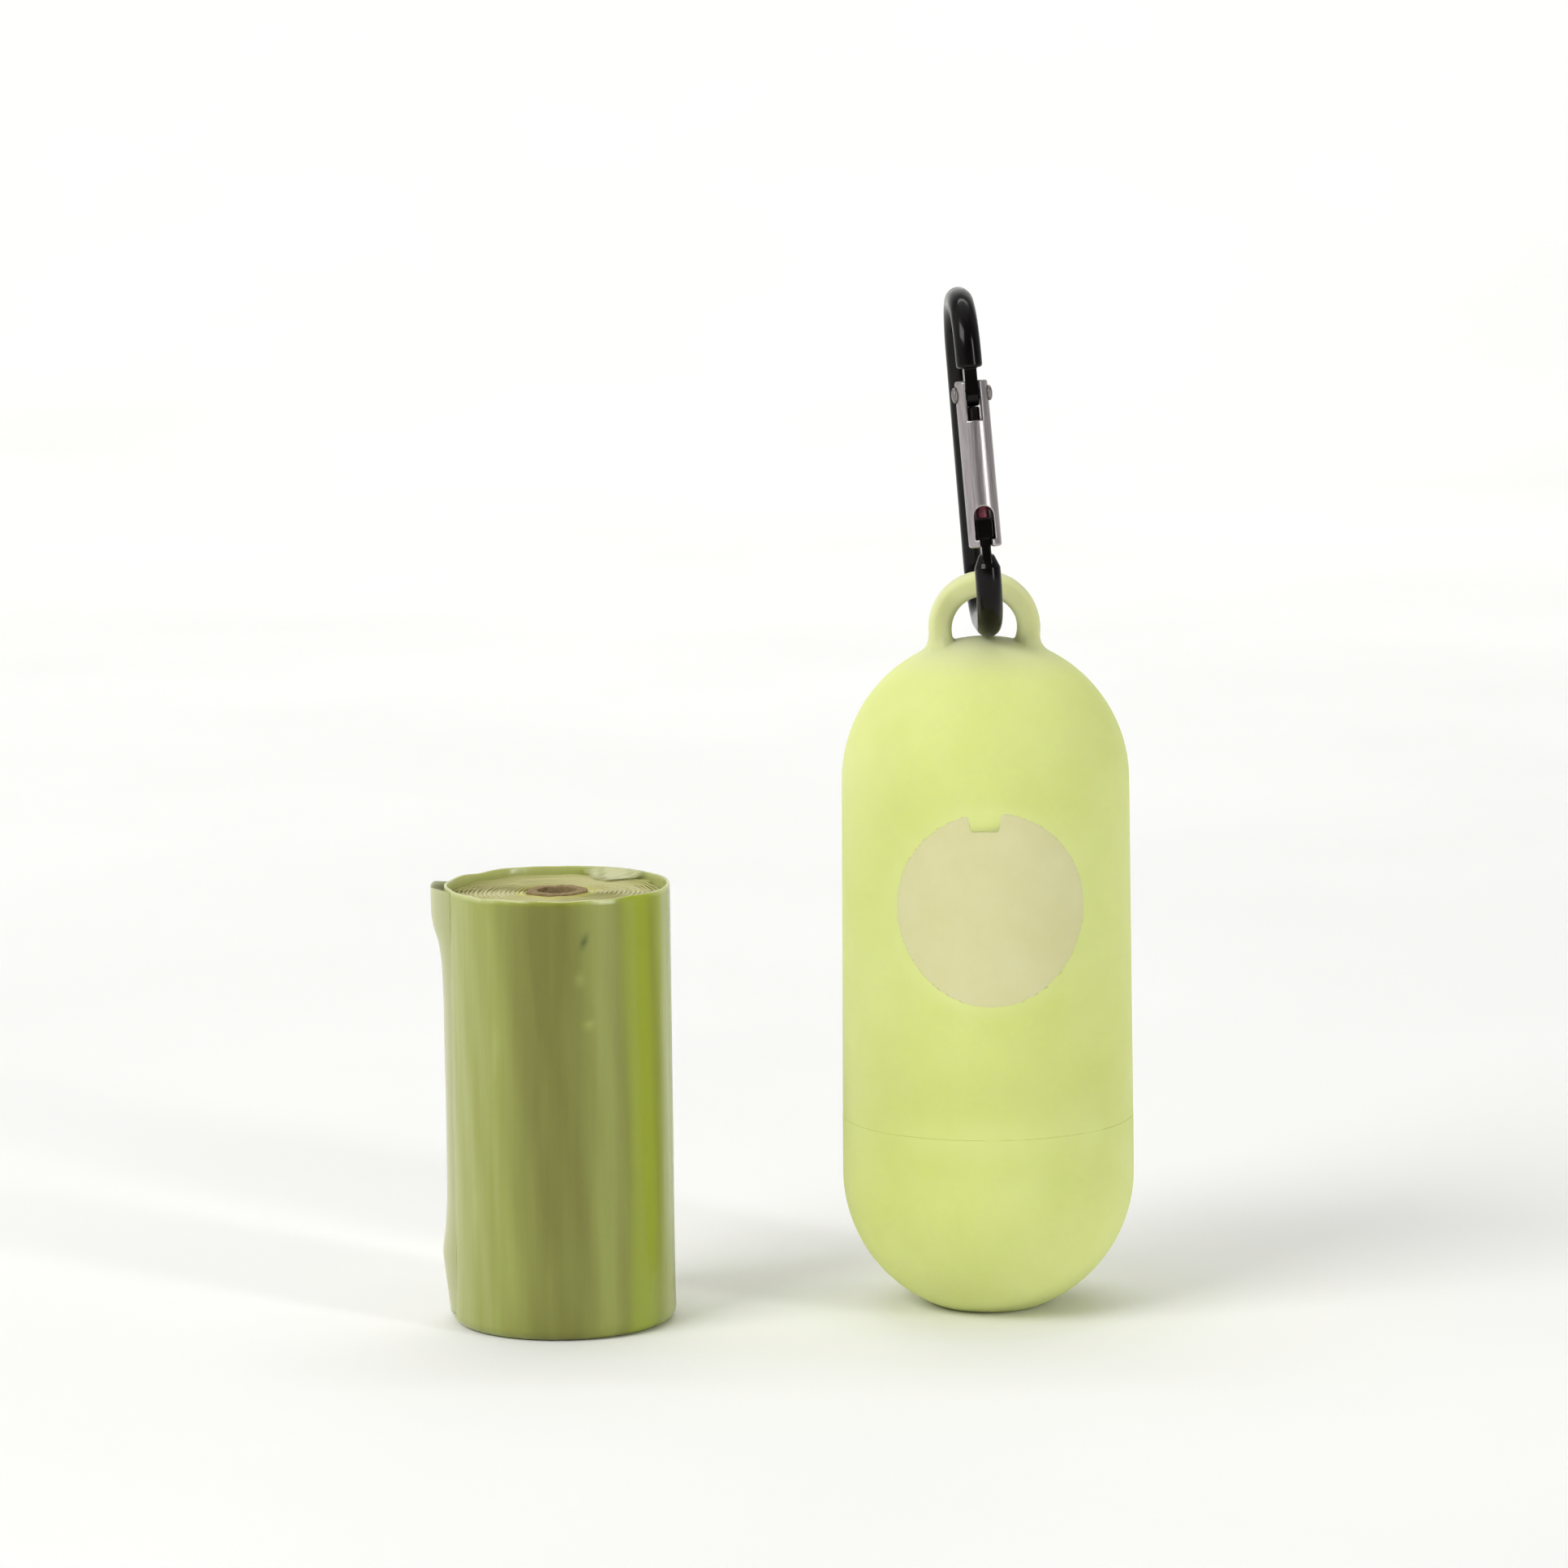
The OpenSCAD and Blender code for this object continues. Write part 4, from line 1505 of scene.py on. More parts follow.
@dataclass
class Clip:
    """Spring-gate clip: bent wire frame, gate bar, rivet, plunger, spring and stop.

    Angles are in degrees. Heights of the gate's pieces and of the wire's two ends run up the gate
    line, which leans by tilt.
    """

    origin: tuple[float, float, float] = (0.3, 0.0, 94.028)
    yaw: float = 3.2
    lean: float = -4.3
    tilt: float = 4.7
    wire_r: float = 1.75
    height: float = 43.6
    spine_y: float = 9.5
    front_y: float = -9.9
    bend_r: float = 7.4
    gate_r: float = 2.2
    gate_low: float = 11.3
    gate_top: float = 33.6
    hinge_z: float = 31.8
    slot_half: float = 1.0
    slot_floor: float = 28.3
    heel_r: float = 1.65
    heel_y: float = 0.5
    tang_half: float = 0.85
    nose_z: float = 35.3
    rivet_r: float = 0.7
    head_r: float = 1.05
    head_h: float = 0.75
    head_x: float = 2.0
    latch_half: float = 1.225
    latch_z: float = 12.5
    latch_h: float = 2.5
    latch_back: float = 1.1
    latch_front: float = 1.4
    neck_half: float = 0.625
    pocket_half: float = 1.325
    arch_z: float = 15.475
    bore_r: float = 0.85
    spring_r: float = 0.65
    spring_wire: float = 0.13
    spring_low: float = 18.37
    spring_high: float = 25.33
    spring_turns: float = 9.0
    nose_cut: float = 37.1
    stub_cut: float = 7.9
    stub_top: float = 10.3
    cone_low: float = 8.5
    cone_inset: float = 0.75
    tang_front: float = 1.6
    tang_root: float = 0.8
    neck_low: tuple[float, float] = (-1.2, 9.3)
    neck_root: float = 1.2
    seat_room: float = 0.12
    latch_room: float = 0.1
    neck_room: float = 0.2

    def clip_frame(self) -> Matrix:
        """Place of the clip's own frame.

        Returns:
            Matrix in millimetres from the clip's frame.
        """
        return (
            Matrix.Translation(self.origin)
            @ Matrix.Rotation(math.radians(self.yaw), 4, "Z")
            @ Matrix.Rotation(math.radians(self.lean), 4, "Y")
        )

    def gate_frame(self) -> Matrix:
        """Place of the gate line, which runs up the gate from its foot.

        Returns:
            Matrix in millimetres from the gate line's frame.
        """
        return (
            self.clip_frame()
            @ Matrix.Translation((0, self.front_y, 0))
            @ Matrix.Rotation(math.radians(-self.tilt), 4, "X")
        )

    def on_gate_line(self, y: Array, z: Array) -> tuple[Array, Array]:
        """Turn the clip's coordinates into the gate line's.

        Args:
            y, z: Coordinates in the clip's frame.

        Returns:
            The same two across and along the gate line.
        """
        t = math.radians(self.tilt)
        across = y - self.front_y
        return across * math.cos(t) - z * math.sin(t), across * math.sin(t) + z * math.cos(t)

    def bend(self, y: Array, z: Array, centre: tuple, start: float, end: float) -> Array:
        """Distance in the clip's plane to one bend of the wire's middle line.

        Args:
            y, z: Coordinates in the clip's frame.
            centre: Centre of the bend.
            start, end: Angles in degrees where it starts and ends.

        Returns:
            The distance at each point.
        """
        dy, dz = y - centre[0], z - centre[1]
        turn = np.degrees(np.arctan2(dz, dy))
        turn = np.where(turn < start - 90, turn + 360, turn)
        on_arc = (turn >= start) & (turn <= end)
        ends = [
            np.hypot(dy - self.bend_r * math.cos(math.radians(t)),
                     dz - self.bend_r * math.sin(math.radians(t)))
            for t in (start, end)
        ]
        ring = np.abs(np.hypot(dy, dz) - self.bend_r)
        return np.where(on_arc, ring, np.minimum(*ends))

    def wire(self, x: Array, y: Array, z: Array) -> Array:
        """Signed distance to the bent wire without its ends on the gate line.

        Args:
            x, y, z: Coordinates in millimetres.

        Returns:
            The distance at each point.
        """
        t = math.radians(self.tilt)
        r, top = self.bend_r, self.height
        back = self.spine_y - r
        top_front = (r + (top - r) * math.sin(t)) / math.cos(t) + self.front_y
        low_front = r * (1 + math.sin(t)) / math.cos(t) + self.front_y
        flat = np.minimum.reduce([
            self.bend(y, z, (back, r), -90, 0),
            self.bend(y, z, (back, top - r), 0, 90),
            self.bend(y, z, (top_front, top - r), 90, 180 - self.tilt),
            self.bend(y, z, (low_front, r), 180 - self.tilt, 270),
            np.hypot(y - self.spine_y, z - np.clip(z, r, top - r)),
            np.hypot(y - np.clip(y, low_front, back), z),
            np.hypot(y - np.clip(y, top_front, back), z - top),
        ])
        return np.hypot(flat, x) - self.wire_r

    def wire_ends(self, x: Array, y: Array, z: Array) -> Array:
        """Signed distance to nose, tang, stub and latch, in the gate line's frame.

        The last number of each call is the rounding or the fillet of that edge.

        Args:
            x, y, z: Coordinates in millimetres.

        Returns:
            The distance at each point.
        """
        round_bar = np.hypot(x, y) - self.wire_r
        nose = np.maximum(round_max(round_bar, self.nose_z - z, 0.45), z - self.nose_cut)
        taper = risen(z, self.cone_low, self.stub_top - self.cone_low)
        bar = np.hypot(x, y) - (self.wire_r - self.cone_inset * taper)
        stub = np.maximum(round_max(bar, z - self.stub_top, 0.25), self.stub_cut - z)
        plate = np.minimum(
            rectangle(y, z, (self.heel_y - self.heel_r, self.hinge_z),
                      (self.tang_front, self.nose_z + self.tang_root)),
            np.hypot(y - self.heel_y, z - self.hinge_z) - self.heel_r,
        )
        tang = rounded_slab(plate, x, self.tang_half, 0.16)
        neck = rounded_slab(
            rectangle(y, z, self.neck_low, (self.latch_back, self.latch_z + self.neck_root)), x,
            self.neck_half, 0.15,
        )
        head = rounded_slab(
            rectangle(y, z, (-self.latch_front, self.latch_z),
                      (self.latch_back, self.latch_z + self.latch_h)), x, self.latch_half, 0.3,
        )
        low = round_min(round_min(stub, neck, 0.35), head, 0.12)
        return np.minimum(round_min(nose, tang, 0.2), low)

    def frame_field(self, x: Array, y: Array, z: Array) -> Array:
        """Signed distance to the whole wire frame."""
        ends = self.wire_ends(x, *self.on_gate_line(y, z))
        return np.minimum(self.wire(x, y, z), ends)

    def gate_field(self, x: Array, y: Array, z: Array) -> Array:
        """Signed distance to the gate bar, in the gate line's frame.

        Args:
            x, y, z: Coordinates in millimetres.

        Returns:
            The distance at each point.
        """
        bar = round_max(
            np.hypot(x, y) - self.gate_r, np.maximum(self.gate_low - z, z - self.gate_top), 0.35,
        )
        slot = np.maximum(np.abs(x) - self.slot_half, self.slot_floor - z)
        bar = round_max(bar, -slot, 0.14)
        seats = np.maximum(
            np.hypot(y, z - self.hinge_z) - self.head_r - self.seat_room,
            self.head_x - np.abs(x),
        )
        bar = np.maximum(bar, -seats)
        back = self.latch_back + self.latch_room
        arch = np.hypot(x, np.maximum(z - self.arch_z, 0)) - self.pocket_half
        pocket = np.maximum(arch, self.latch_z - 0.15 - z)
        lips = np.maximum(np.abs(x) - self.neck_half - self.neck_room, z - self.latch_z)
        opening = np.maximum(np.minimum(pocket, lips), y - back)
        bar = round_max(bar, -opening, 0.18)
        bore = np.maximum(np.hypot(x, y) - self.bore_r,
                          np.maximum(self.arch_z - 0.6 - z, z - self.slot_floor - 1))
        return np.maximum(bar, -bore)

    def build_frame(self) -> Object:
        """Build the black wire frame.

        Returns:
            The new object.
        """
        solid = ImplicitSolid(
            self.frame_field,
            xs=mirrored([(0, 0.16), (2.0, 0.14)]),
            ys=graded([(-12.2, 0.15), (-5.2, 0.15), (-4.2, 0.26), (11.6, 0.26)]),
            zs=graded([(-2.1, 0.25), (7.5, 0.25), (8.5, 0.14), (15.6, 0.14), (16.6, 0.3),
                       (28.6, 0.3), (29.4, 0.15), (38.0, 0.15), (39.5, 0.25), (45.8, 0.25)]),
        )
        return solid.build("clip_wire", self.clip_frame())

    def build_gate(self) -> Object:
        """Build the bare gate bar.

        Returns:
            The new object.
        """
        line = mirrored([(0, 0.13), (2.45, 0.11)])
        solid = ImplicitSolid(
            self.gate_field, xs=line, ys=line,
            zs=graded([(11.1, 0.13), (17.2, 0.13), (18.2, 0.3), (26.8, 0.3), (27.8, 0.13),
                       (33.9, 0.13)]),
        )
        return solid.build("gate_bar", self.gate_frame())

    def build_rivet(self) -> Object:
        """Build the hinge rivet, turned round the hinge's axis.

        Returns:
            The new object.
        """
        end = self.head_x + self.head_h
        edge = self.head_x + self.head_h * 0.45
        half = [(self.rivet_r, 0), (self.rivet_r, self.head_x), (self.head_r - 0.08, self.head_x),
                (self.head_r, self.head_x + 0.08), (self.head_r, edge)]
        half += [(self.head_r * math.cos(t), edge + (end - edge) * math.sin(t))
                 for t in np.linspace(0.15, math.pi / 2 - 1e-9, 7)]
        half[-1] = (0.0, end)
        path = [(r, -z) for r, z in half[:0:-1]] + half
        frame = self.gate_frame() @ Matrix.Translation((0, 0, self.hinge_z)) @ Matrix.Rotation(
            math.pi / 2, 4, "Y")
        return Lathe(path, segments=40).build("rivet_body", frame)

    def build_pin(self, name: str, low: float, high: float, tip: float) -> Object:
        """Build a short pin in the gate's bore.

        Args:
            name: Name of the object.
            low: Height of its foot on the gate line.
            high: Height of its top.
            tip: Rounding of its ends.

        Returns:
            The new object.
        """
        r = self.bore_r - 0.03
        path = softened([(0, low, 0), (r, low, tip), (r, high, tip), (0, high, 0)], 6)
        return Lathe(path, segments=36).build(name, self.gate_frame())

    def build_spring(self, material: Material) -> Object:
        """Coil the gate's spring with Geometry Nodes.

        Args:
            material: The spring's finish.

        Returns:
            The new object.
        """
        tree, given, values = start_nodes("coil", {
            "Turns": self.spring_turns,
            "Radius": self.spring_r * MM,
            "Wire radius": self.spring_wire * MM,
            "Length": (self.spring_high - self.spring_low) * MM,
        })
        coil = add_node(
            tree, "GeometryNodeCurveSpiral", inputs={"Resolution": 22},
            links={"Rotations": given.outputs["Turns"], "Start Radius": given.outputs["Radius"],
                   "End Radius": given.outputs["Radius"], "Height": given.outputs["Length"]},
        )
        ring = add_node(
            tree, "GeometryNodeCurvePrimitiveCircle", settings={"mode": "RADIUS"},
            inputs={"Resolution": 8}, links={"Radius": given.outputs["Wire radius"]},
        )
        tube = add_node(
            tree, "GeometryNodeCurveToMesh", inputs={"Fill Caps": True},
            links={"Curve": coil.outputs["Curve"], "Profile Curve": ring.outputs["Curve"]},
        )
        smooth = add_node(tree, "GeometryNodeSetShadeSmooth", links={0: tube.outputs["Mesh"]})
        frame = self.gate_frame() @ Matrix.Translation((0, 0, self.spring_low))
        return solve_nodes("spring_coil", tree, smooth.outputs[0], values, material, frame)

    def build(self) -> None:
        """Build the clip's pieces and dress them."""
        lean = tuple(self.gate_frame().to_euler())
        enamel = BakedEnamel("black_enamel").build()
        bar = DrawnMetal("drawn_aluminium", turn=lean).build()
        steel = DrawnMetal("bright_steel", "#97918f", "#696463", roughness=0.4, line_mm=0.1,
                           turn=lean).build()
        dark = DrawnMetal("oiled_steel", "#3a3534", "#242020", roughness=0.3, line_mm=0.1,
                          turn=lean).build()
        place(self.build_frame(), "clip", enamel, ("carabiner_frame",))
        place(self.build_gate(), "gate", bar, ("carabiner_gate",))
        place(self.build_rivet(), "gate", steel, ("hinge_rivet",))
        place(self.build_pin("plunger_pin", 25.5, 30.11, 0.3), "plunger", dark,
              ("gate_plunger",))
        place(self.build_pin("stop_pin", 15.2, 18.2, 0.15), "gate",
              MouldedPlastic("crimson_acetal").build(), ("spring_stop",))
        spring = self.build_spring(steel)
        place(spring, None, None, ("gate_spring",))
        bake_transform(spring)


# ---- rolls


@dataclass
class BagRoll:
    """Wound roll of bags on a board core."""

    centre: tuple[float, float] = (0.0, 0.0)
    low: float = 8.765
    length: float = 57.6
    radius: float = 14.0
    core_r: float = 4.1
    core_wall: float = 1.4
    core_proud: float = 0.3
    dish: float = 0.1
    rings: int = 36
    seed: int = 3

    def core(self, name: str) -> Object:
        """Build the board core.

        Args:
            name: Name of the object.

        Returns:
            The new object.
        """
        low, high = self.low - self.core_proud, self.low + self.length + self.core_proud
        inner = self.core_r - self.core_wall
        rough = ripple(self.seed, 9, 3, 19)

        def worn(angle: Array, radius: Array, height: Array) -> tuple[Array, Array]:
            """Leave the cut ends a little ragged: new radius and height."""
            top = (height > high - 0.3) * 0.06 * rough(angle)
            return radius + 0.02 * rough(angle + 1), height + top

        path = softened([(inner, high - 1, 0), (inner, low, 0.12), (self.core_r, low, 0.12),
                         (self.core_r, high, 0.12), (inner, high, 0.12), (inner, high - 1, 0)], 3)
        return Lathe(divided(path[:-1], 3), self.centre, 96, closed=True, wobble=worn).build(name)

    def windings(self, name: str) -> Object:
        """Build the wound body with uneven layer edges on its ends.

        Args:
            name: Name of the object.

        Returns:
            The new object.
        """
        rng = np.random.default_rng(self.seed)
        low, high = self.low, self.low + self.length
        start = self.core_r + 0.05
        steps = np.linspace(start, self.radius - 0.3, self.rings)
        sunk = risen(steps, 0.7 * self.radius, 0.3 * self.radius) ** 1.5
        heights = rng.uniform(-0.16, 0.0, self.rings) - self.dish * sunk
        top = [(r, high + h) for r, h in zip(steps, heights)]
        bottom = [(r, low - h) for r, h in zip(steps, heights)]
        drop = self.dish + 0.12
        side = [(self.radius, z) for z in np.linspace(low + drop + 0.33, high - drop - 0.33, 24)]
        path = bottom + [(self.radius - 0.08, low + drop)] + side + [
            (self.radius - 0.08, high - drop)] + top[::-1]
        swell, tilt = ripple(self.seed + 1, 6, 2, 9), ripple(self.seed + 2, 5, 1, 5)

        def uneven(angle: Array, radius: Array, height: Array) -> tuple[Array, Array]:
            """Let layers stand a little proud here and there.

            Args:
                angle, radius, height: Place of each point.

            Returns:
                New radius and height.
            """
            share = risen(radius, start, self.radius - start)
            out = radius - 0.07 * share * (1 + swell(angle + 0.05 * height))
            end = risen(height - high, -0.3, 0.3)
            return out, height - 0.09 * end * (1 + tilt(angle + radius * 0.9)) * 0.5

        return Lathe(path, self.centre, 160, closed=True, wobble=uneven).build(name)


@dataclass
class LoadedRoll(BagRoll):
    """Roll inside the capsule, with the bag's end led out through the slot."""

    turn: float = 37.718
    tail_r: float = 14.55
    tail_in: float = 11.253
    tail_out: float = 14.0
    tail_low: float = 37.0
    tail_h: float = 19.0
    tail_folds: tuple = ((1.7, 0.5), (3.2, 0.75), (4.9, 0.6), (7.6, 0.35), (12.1, 0.14))
    film_t: float = 0.09

    def build_tail(self) -> tuple[Object, tuple[float, float], Array, Array]:
        """Build the gathered end of the bag, which leaves the roll and fans out behind.

        The film runs off the roll in small folds as far as the slot, where its folds deepen and
        its far edge turns uneven.

        Returns:
            The new object, its flat size in metres, its root and the direction it runs in.
        """
        t = math.radians(self.turn)
        along = np.array([-math.cos(t), math.sin(t), 0])
        out = np.array([math.sin(t), math.cos(t), 0])
        tangent = out * self.tail_r
        columns, rows = 64, 120
        u = np.linspace(0, self.tail_in + self.tail_out, columns)
        v = np.linspace(0, 1, rows)
        rng = np.random.default_rng(11)
        folds = [(turns, size, rng.uniform(0, 6.28), rng.uniform(-0.16, 0.16))
                 for turns, size in self.tail_folds]
        points = []
        for length in u:
            past = risen(length - self.tail_in, 1.6, self.tail_out - 1.6)
            near = risen(length, 0, 4)
            size = near * (0.2 + 1.25 * past**1.3)
            wave = sum(a * np.sin(2 * np.pi * n * (v + 0.012 * np.sin(9 * v + length)) + p
                                  + drift * length) for n, a, p, drift in folds)
            wave = np.tanh(0.9 * wave) + 0.12 * wave + 0.5 * past * np.sin(4 * v + 0.1 * length)
            pinch = 1 - 0.06 * np.sin(np.pi * np.clip(length / self.tail_in, 0, 1)) - 0.05 * past
            z = self.tail_low + self.tail_h * (0.5 + (v - 0.5) * pinch) - 1.3 * past**2 * (1.2 - v)
            edge = past * (0.5 * np.sin(7 * v + 1.3) + 0.1 * np.sin(29 * v) - 0.4)
            place_at = tangent + along * (length + edge[:, None] * 0.8)
            points.append(place_at + out * (size * wave)[:, None] + np.stack(
                [0 * z, 0 * z, z], 1))
        air = np.full((columns, rows), 0.8)
        film, flat = film_sheet("bag_end_film", np.array(points), air, self.film_t)
        return film, flat, tangent, along

    def build(self) -> None:
        """Build the roll in the capsule and dress it."""
        board = KraftBoard("kraft_board").build()
        place(self.core("loaded_core_tube"), "roll", board, ("loaded_core",))
        body = self.windings("loaded_film_roll")
        set_air(body, 0.45 + 0.3 * ripple(21, 6, 2, 9)(polar(body, self.centre)[0]))
        film = BlownFilm("lime_film_wound", Film.WOUND, "#93a243", "#aebb56", "#c9d187").build()
        place(body, "roll", film, ("loaded_windings",))
        body.data.materials.append(WoundEnd("film_edges_loaded", radius=self.radius).build())
        for face in body.data.polygons:
            face.material_index = int(abs(face.normal.z) > 0.5)
        tail, flat, tangent, along = self.build_tail()
        loose = BlownFilm("lime_film_loose", Film.LOOSE, "#aeb963", "#c0ca7c", "#d0d79a").build()
        place(tail, None, loose, ("bag_tail",))
        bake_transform(tail)


@dataclass(frozen=True)
class PaintedLightPatch:
    """Soft wrap patch of painted light and shade: half width in degrees, half height in mm."""

    angle: float
    level: float
    wide: float
    tall: float
    lean: float = 0.0
    size: float = 1.0

    def share(self, degrees: Array, height: Array) -> Array:
        """Strength of the patch.

        Args:
            degrees: Angle round the roll.
            height: Height above the floor.

        Returns:
            The strength at each point, up to size.
        """
        up = (height - self.level) / self.tall
        off = (degrees - self.angle - self.lean * up) / self.wide
        return self.size * np.exp(-(off**2) - up**2)


@dataclass
class RefillRoll(BagRoll):
    """Spare roll that stands beside the capsule in its loose outer wrap.

    flap_lifts is how far the loose edge stands off at each height. The band list gives the centre
    and half width in degrees of each milky band and how milky it is; it is partly trapped air and
    partly painted light, as the pale band along each side edge is painted sheen and the deep front
    between them is partly painted reflection of the dim room. The patch list adds to it or, where
    its patches are negative, takes from it: its patches are painted highlights on small creases
    and painted light and shade over broad stretches. A separate patch paints the shadow of a small
    crease, where the wrap has no dent.
    """

    centre: tuple[float, float] = (-58.2, -6.3)
    low: float = 1.2
    radius: float = 14.62
    wrap_r: float = 15.35
    wrap_t: float = 0.4
    height: float = 60.0
    tuck_r: float = 1.75
    tuck_w: float = 1.0
    dish: float = 0.4
    layer_step: float = 0.62
    layer_t: float = 0.07
    layer_h: float = 0.34
    layer_wave: float = 100 / 19
    flap_low: float = 1.6
    flap_t: float = 0.06
    flap_span: float = 44.0
    flap_lifts: tuple = ((1.6, 0.05), (3.5, 0.25), (6.0, 0.55), (9.8, 0.95), (13.0, 0.5),
                         (17.0, 0.22), (30.0, 0.16), (44.0, 0.2), (49.5, 0.38), (52.6, 0.75),
                         (54.8, 1.45), (56.5, 1.62), (60.0, 1.62))
    fold_from: float = 33.0
    fold_to: float = 80.0
    fold_reach: float = 4.4
    # Partly trapped air, partly painted light: the side-edge entries are painted sheen, and the
    # deep front between them is partly painted reflection of the dim room.
    air_and_sheen_bands: tuple = ((180, 17, 0.6), (-150, 31, 0.57), (-124, 11, 0.15), (-66, 11, 0.4),
                    (-19, 15, 0.56), (35, 40, 0.3), (120, 30, 0.35))
    # Painted highlights on small creases, and painted light and shade over broad stretches.
    air_and_light_patches: tuple[PaintedLightPatch, ...] = (
        PaintedLightPatch(-77.8, 49.3, 2.4, 0.8, 0.0, 0.22), PaintedLightPatch(-73.3, 43.1, 2.6, 0.5, 0.0, 0.32),
        PaintedLightPatch(-96.6, 49.0, 1.3, 1.8, -3.2, 0.16), PaintedLightPatch(-122.0, 40.0, 4.0, 4.0, 2.0, 0.08),
        PaintedLightPatch(-100.0, 27.0, 3.0, 6.0, 3.0, 0.05), PaintedLightPatch(-140.0, 17.0, 4.0, 5.0, 2.0, 0.06),
        PaintedLightPatch(-94.0, 53.0, 9.0, 9.0, 0.0, -0.17), PaintedLightPatch(-111.0, 8.0, 9.0, 9.0, 0.0, 0.17),
        PaintedLightPatch(-87.0, 8.0, 9.0, 8.0, 0.0, 0.12),
    )
    # Painted shadow of a small crease, where the wrap has no dent.
    crease_shade_spot: PaintedLightPatch = PaintedLightPatch(-75.2, 54.4, 1.7, 0.85, 1.1)

    def build_wrap(self) -> Object:
        """Build the loose outer wrap with its uneven rim and the tuck under the roll.

        Returns:
            The new object.
        """
        r, t, top = self.wrap_r, self.wrap_t, self.height
        turn_in = arc((r - self.tuck_r, self.tuck_r), self.tuck_r, -90, 0, 9)
        turn_out = arc((r - self.tuck_r, self.tuck_r), self.tuck_r - t, 0, -90, 9)
        foot = r - self.tuck_r - self.tuck_w
        path = [(foot, 0.0)] + turn_in + [(r, top - 0.12), (r - 0.1, top), (r - t + 0.1, top),
                                          (r - t, top - 0.12)] + turn_out + [(foot, t)]
        rim = ripple(33, 8, 3, 17)

        def slack(angle: Array, radius: Array, height: Array) -> tuple[Array, Array]:
            """Let the film stand off, with an uneven rim: new radius and height."""
            tall = height + risen(height - top, -1.5, 1.5) * 0.11 * (rim(angle) - 0.6)
            return radius + self.wrap_slack(angle, height), tall

        shell = Lathe(divided(path, 0.7), self.centre, 288, closed=True, wobble=slack)
        return shell.build("refill_wrap_film")

    def wrap_slack(self, angle: Array, height: Array) -> Array:
        """How far the wrap stands off in shallow upright folds, in millimetres.

        Args:
            angle: Angle round the roll, in radians.
            height: Height above the floor.

        Returns:
            What to add to the wrap's radius.
        """
        wide, fine, slow = ripple(31, 7, 2, 7), ripple(32, 10, 9, 34), ripple(34, 4, 2, 5)
        lean = 0.035 * (height - 30) / 10
        fold = 0.10 * wide(angle + lean) + 0.05 * fine(angle + lean * 0.5)
        near = risen(height - self.height, -1.5, 1.5)
        gather = np.exp(-((height - 3.2) / 1.6) ** 2) * 0.05 * fine(angle)
        return risen(height, 0, 6) * (fold - 0.14) + gather + near * 0.12 * slow(angle)

    def wrap_air_and_light(self, angle: Array, height: Array) -> Array:
        """Share of trapped air under the wrap round the roll, with painted light and shade mixed
        in.

        Args:
            angle: Angle round the roll, in radians.
            height: Height above the floor.

        Returns:
            Share from 0, clinging and deep, to 1, milky and pale, painted light included.
        """
        drift = 2.5 * np.sin(height / 17.0)
        degrees = np.degrees(angle)
        air = np.full_like(degrees, 0.03)
        # Painted sheen along both side edges, and partly painted reflection of the dim room at the
        # front.
        for centre, width, size in self.air_and_sheen_bands:
            off = half_turn(degrees - centre - drift)
            air += size * np.exp(-((off / width) ** 2))
        # Painted highlights on small creases, and painted light and shade over broad stretches.
        for light_patch in self.air_and_light_patches:
            air += light_patch.share(degrees, height)
        # Painted highlight: the cut rim's top edge is made pale where light catches it.
        air += 0.5 * risen(height - self.height, -0.5, 0.4)
        return air + 0.05 * ripple(35, 8, 5, 23)(angle + 0.01 * height)

    def wrap_taut(self, angle: Array, height: Array) -> Array:
        """Share of clear green, stretched film round the roll.

        Args:
            angle: Angle round the roll, in radians.
            height: Height above the floor.

        Returns:
            Share from 0 to 1.
        """
        off = half_turn(np.degrees(angle) + 43 - 2 * np.sin(height / 14.0))
        back = half_turn(np.degrees(angle) - 150)
        return 0.85 * np.exp(-((off / 11) ** 4)) + 0.3 * np.exp(-((back / 30) ** 2))

    def build_spiral(self, material: Material) -> Object:
        """Wind the proud layer edges on the roll's end with Geometry Nodes.

        Args:
            material: Finish of the film's edges.

        Returns:
            The new object.
        """
        inner, outer = self.core_r + 0.25, self.radius - 0.4
        tree, given, values = start_nodes("layer_edges", {
            "Turns": (outer - inner) / self.layer_step,
            "Inner radius": inner * MM,
            "Outer radius": outer * MM,
            "Film": self.layer_t * MM,
            "Stand": self.layer_h * MM,
        })
        coil = add_node(
            tree, "GeometryNodeCurveSpiral", inputs={"Resolution": 80, "Height": 0.0},
            links={"Rotations": given.outputs["Turns"],
                   "Start Radius": given.outputs["Inner radius"],
                   "End Radius": given.outputs["Outer radius"]},
        )
        where = add_node(tree, "GeometryNodeInputPosition")
        noise = add_node(
            tree, "ShaderNodeTexNoise",
            inputs={"Scale": 1 / (self.layer_wave * MM), "Detail": 3.0},
            links={"Vector": where.outputs["Position"]},
        )
        rise = add_node(
            tree, "ShaderNodeMapRange",
            inputs={"From Min": 0.3, "From Max": 0.7, "To Min": -0.26 * MM, "To Max": 0.05 * MM},
            links={"Value": noise.outputs["Fac"]},
        )
        shift = add_node(tree, "ShaderNodeCombineXYZ", links={"Z": rise.outputs["Result"]})
        moved = add_node(
            tree, "GeometryNodeSetPosition",
            links={"Geometry": coil.outputs["Curve"], "Offset": shift.outputs["Vector"]},
        )
        ribbon = add_node(
            tree, "GeometryNodeCurvePrimitiveQuadrilateral", settings={"mode": "RECTANGLE"},
            links={"Width": given.outputs["Film"], "Height": given.outputs["Stand"]},
        )
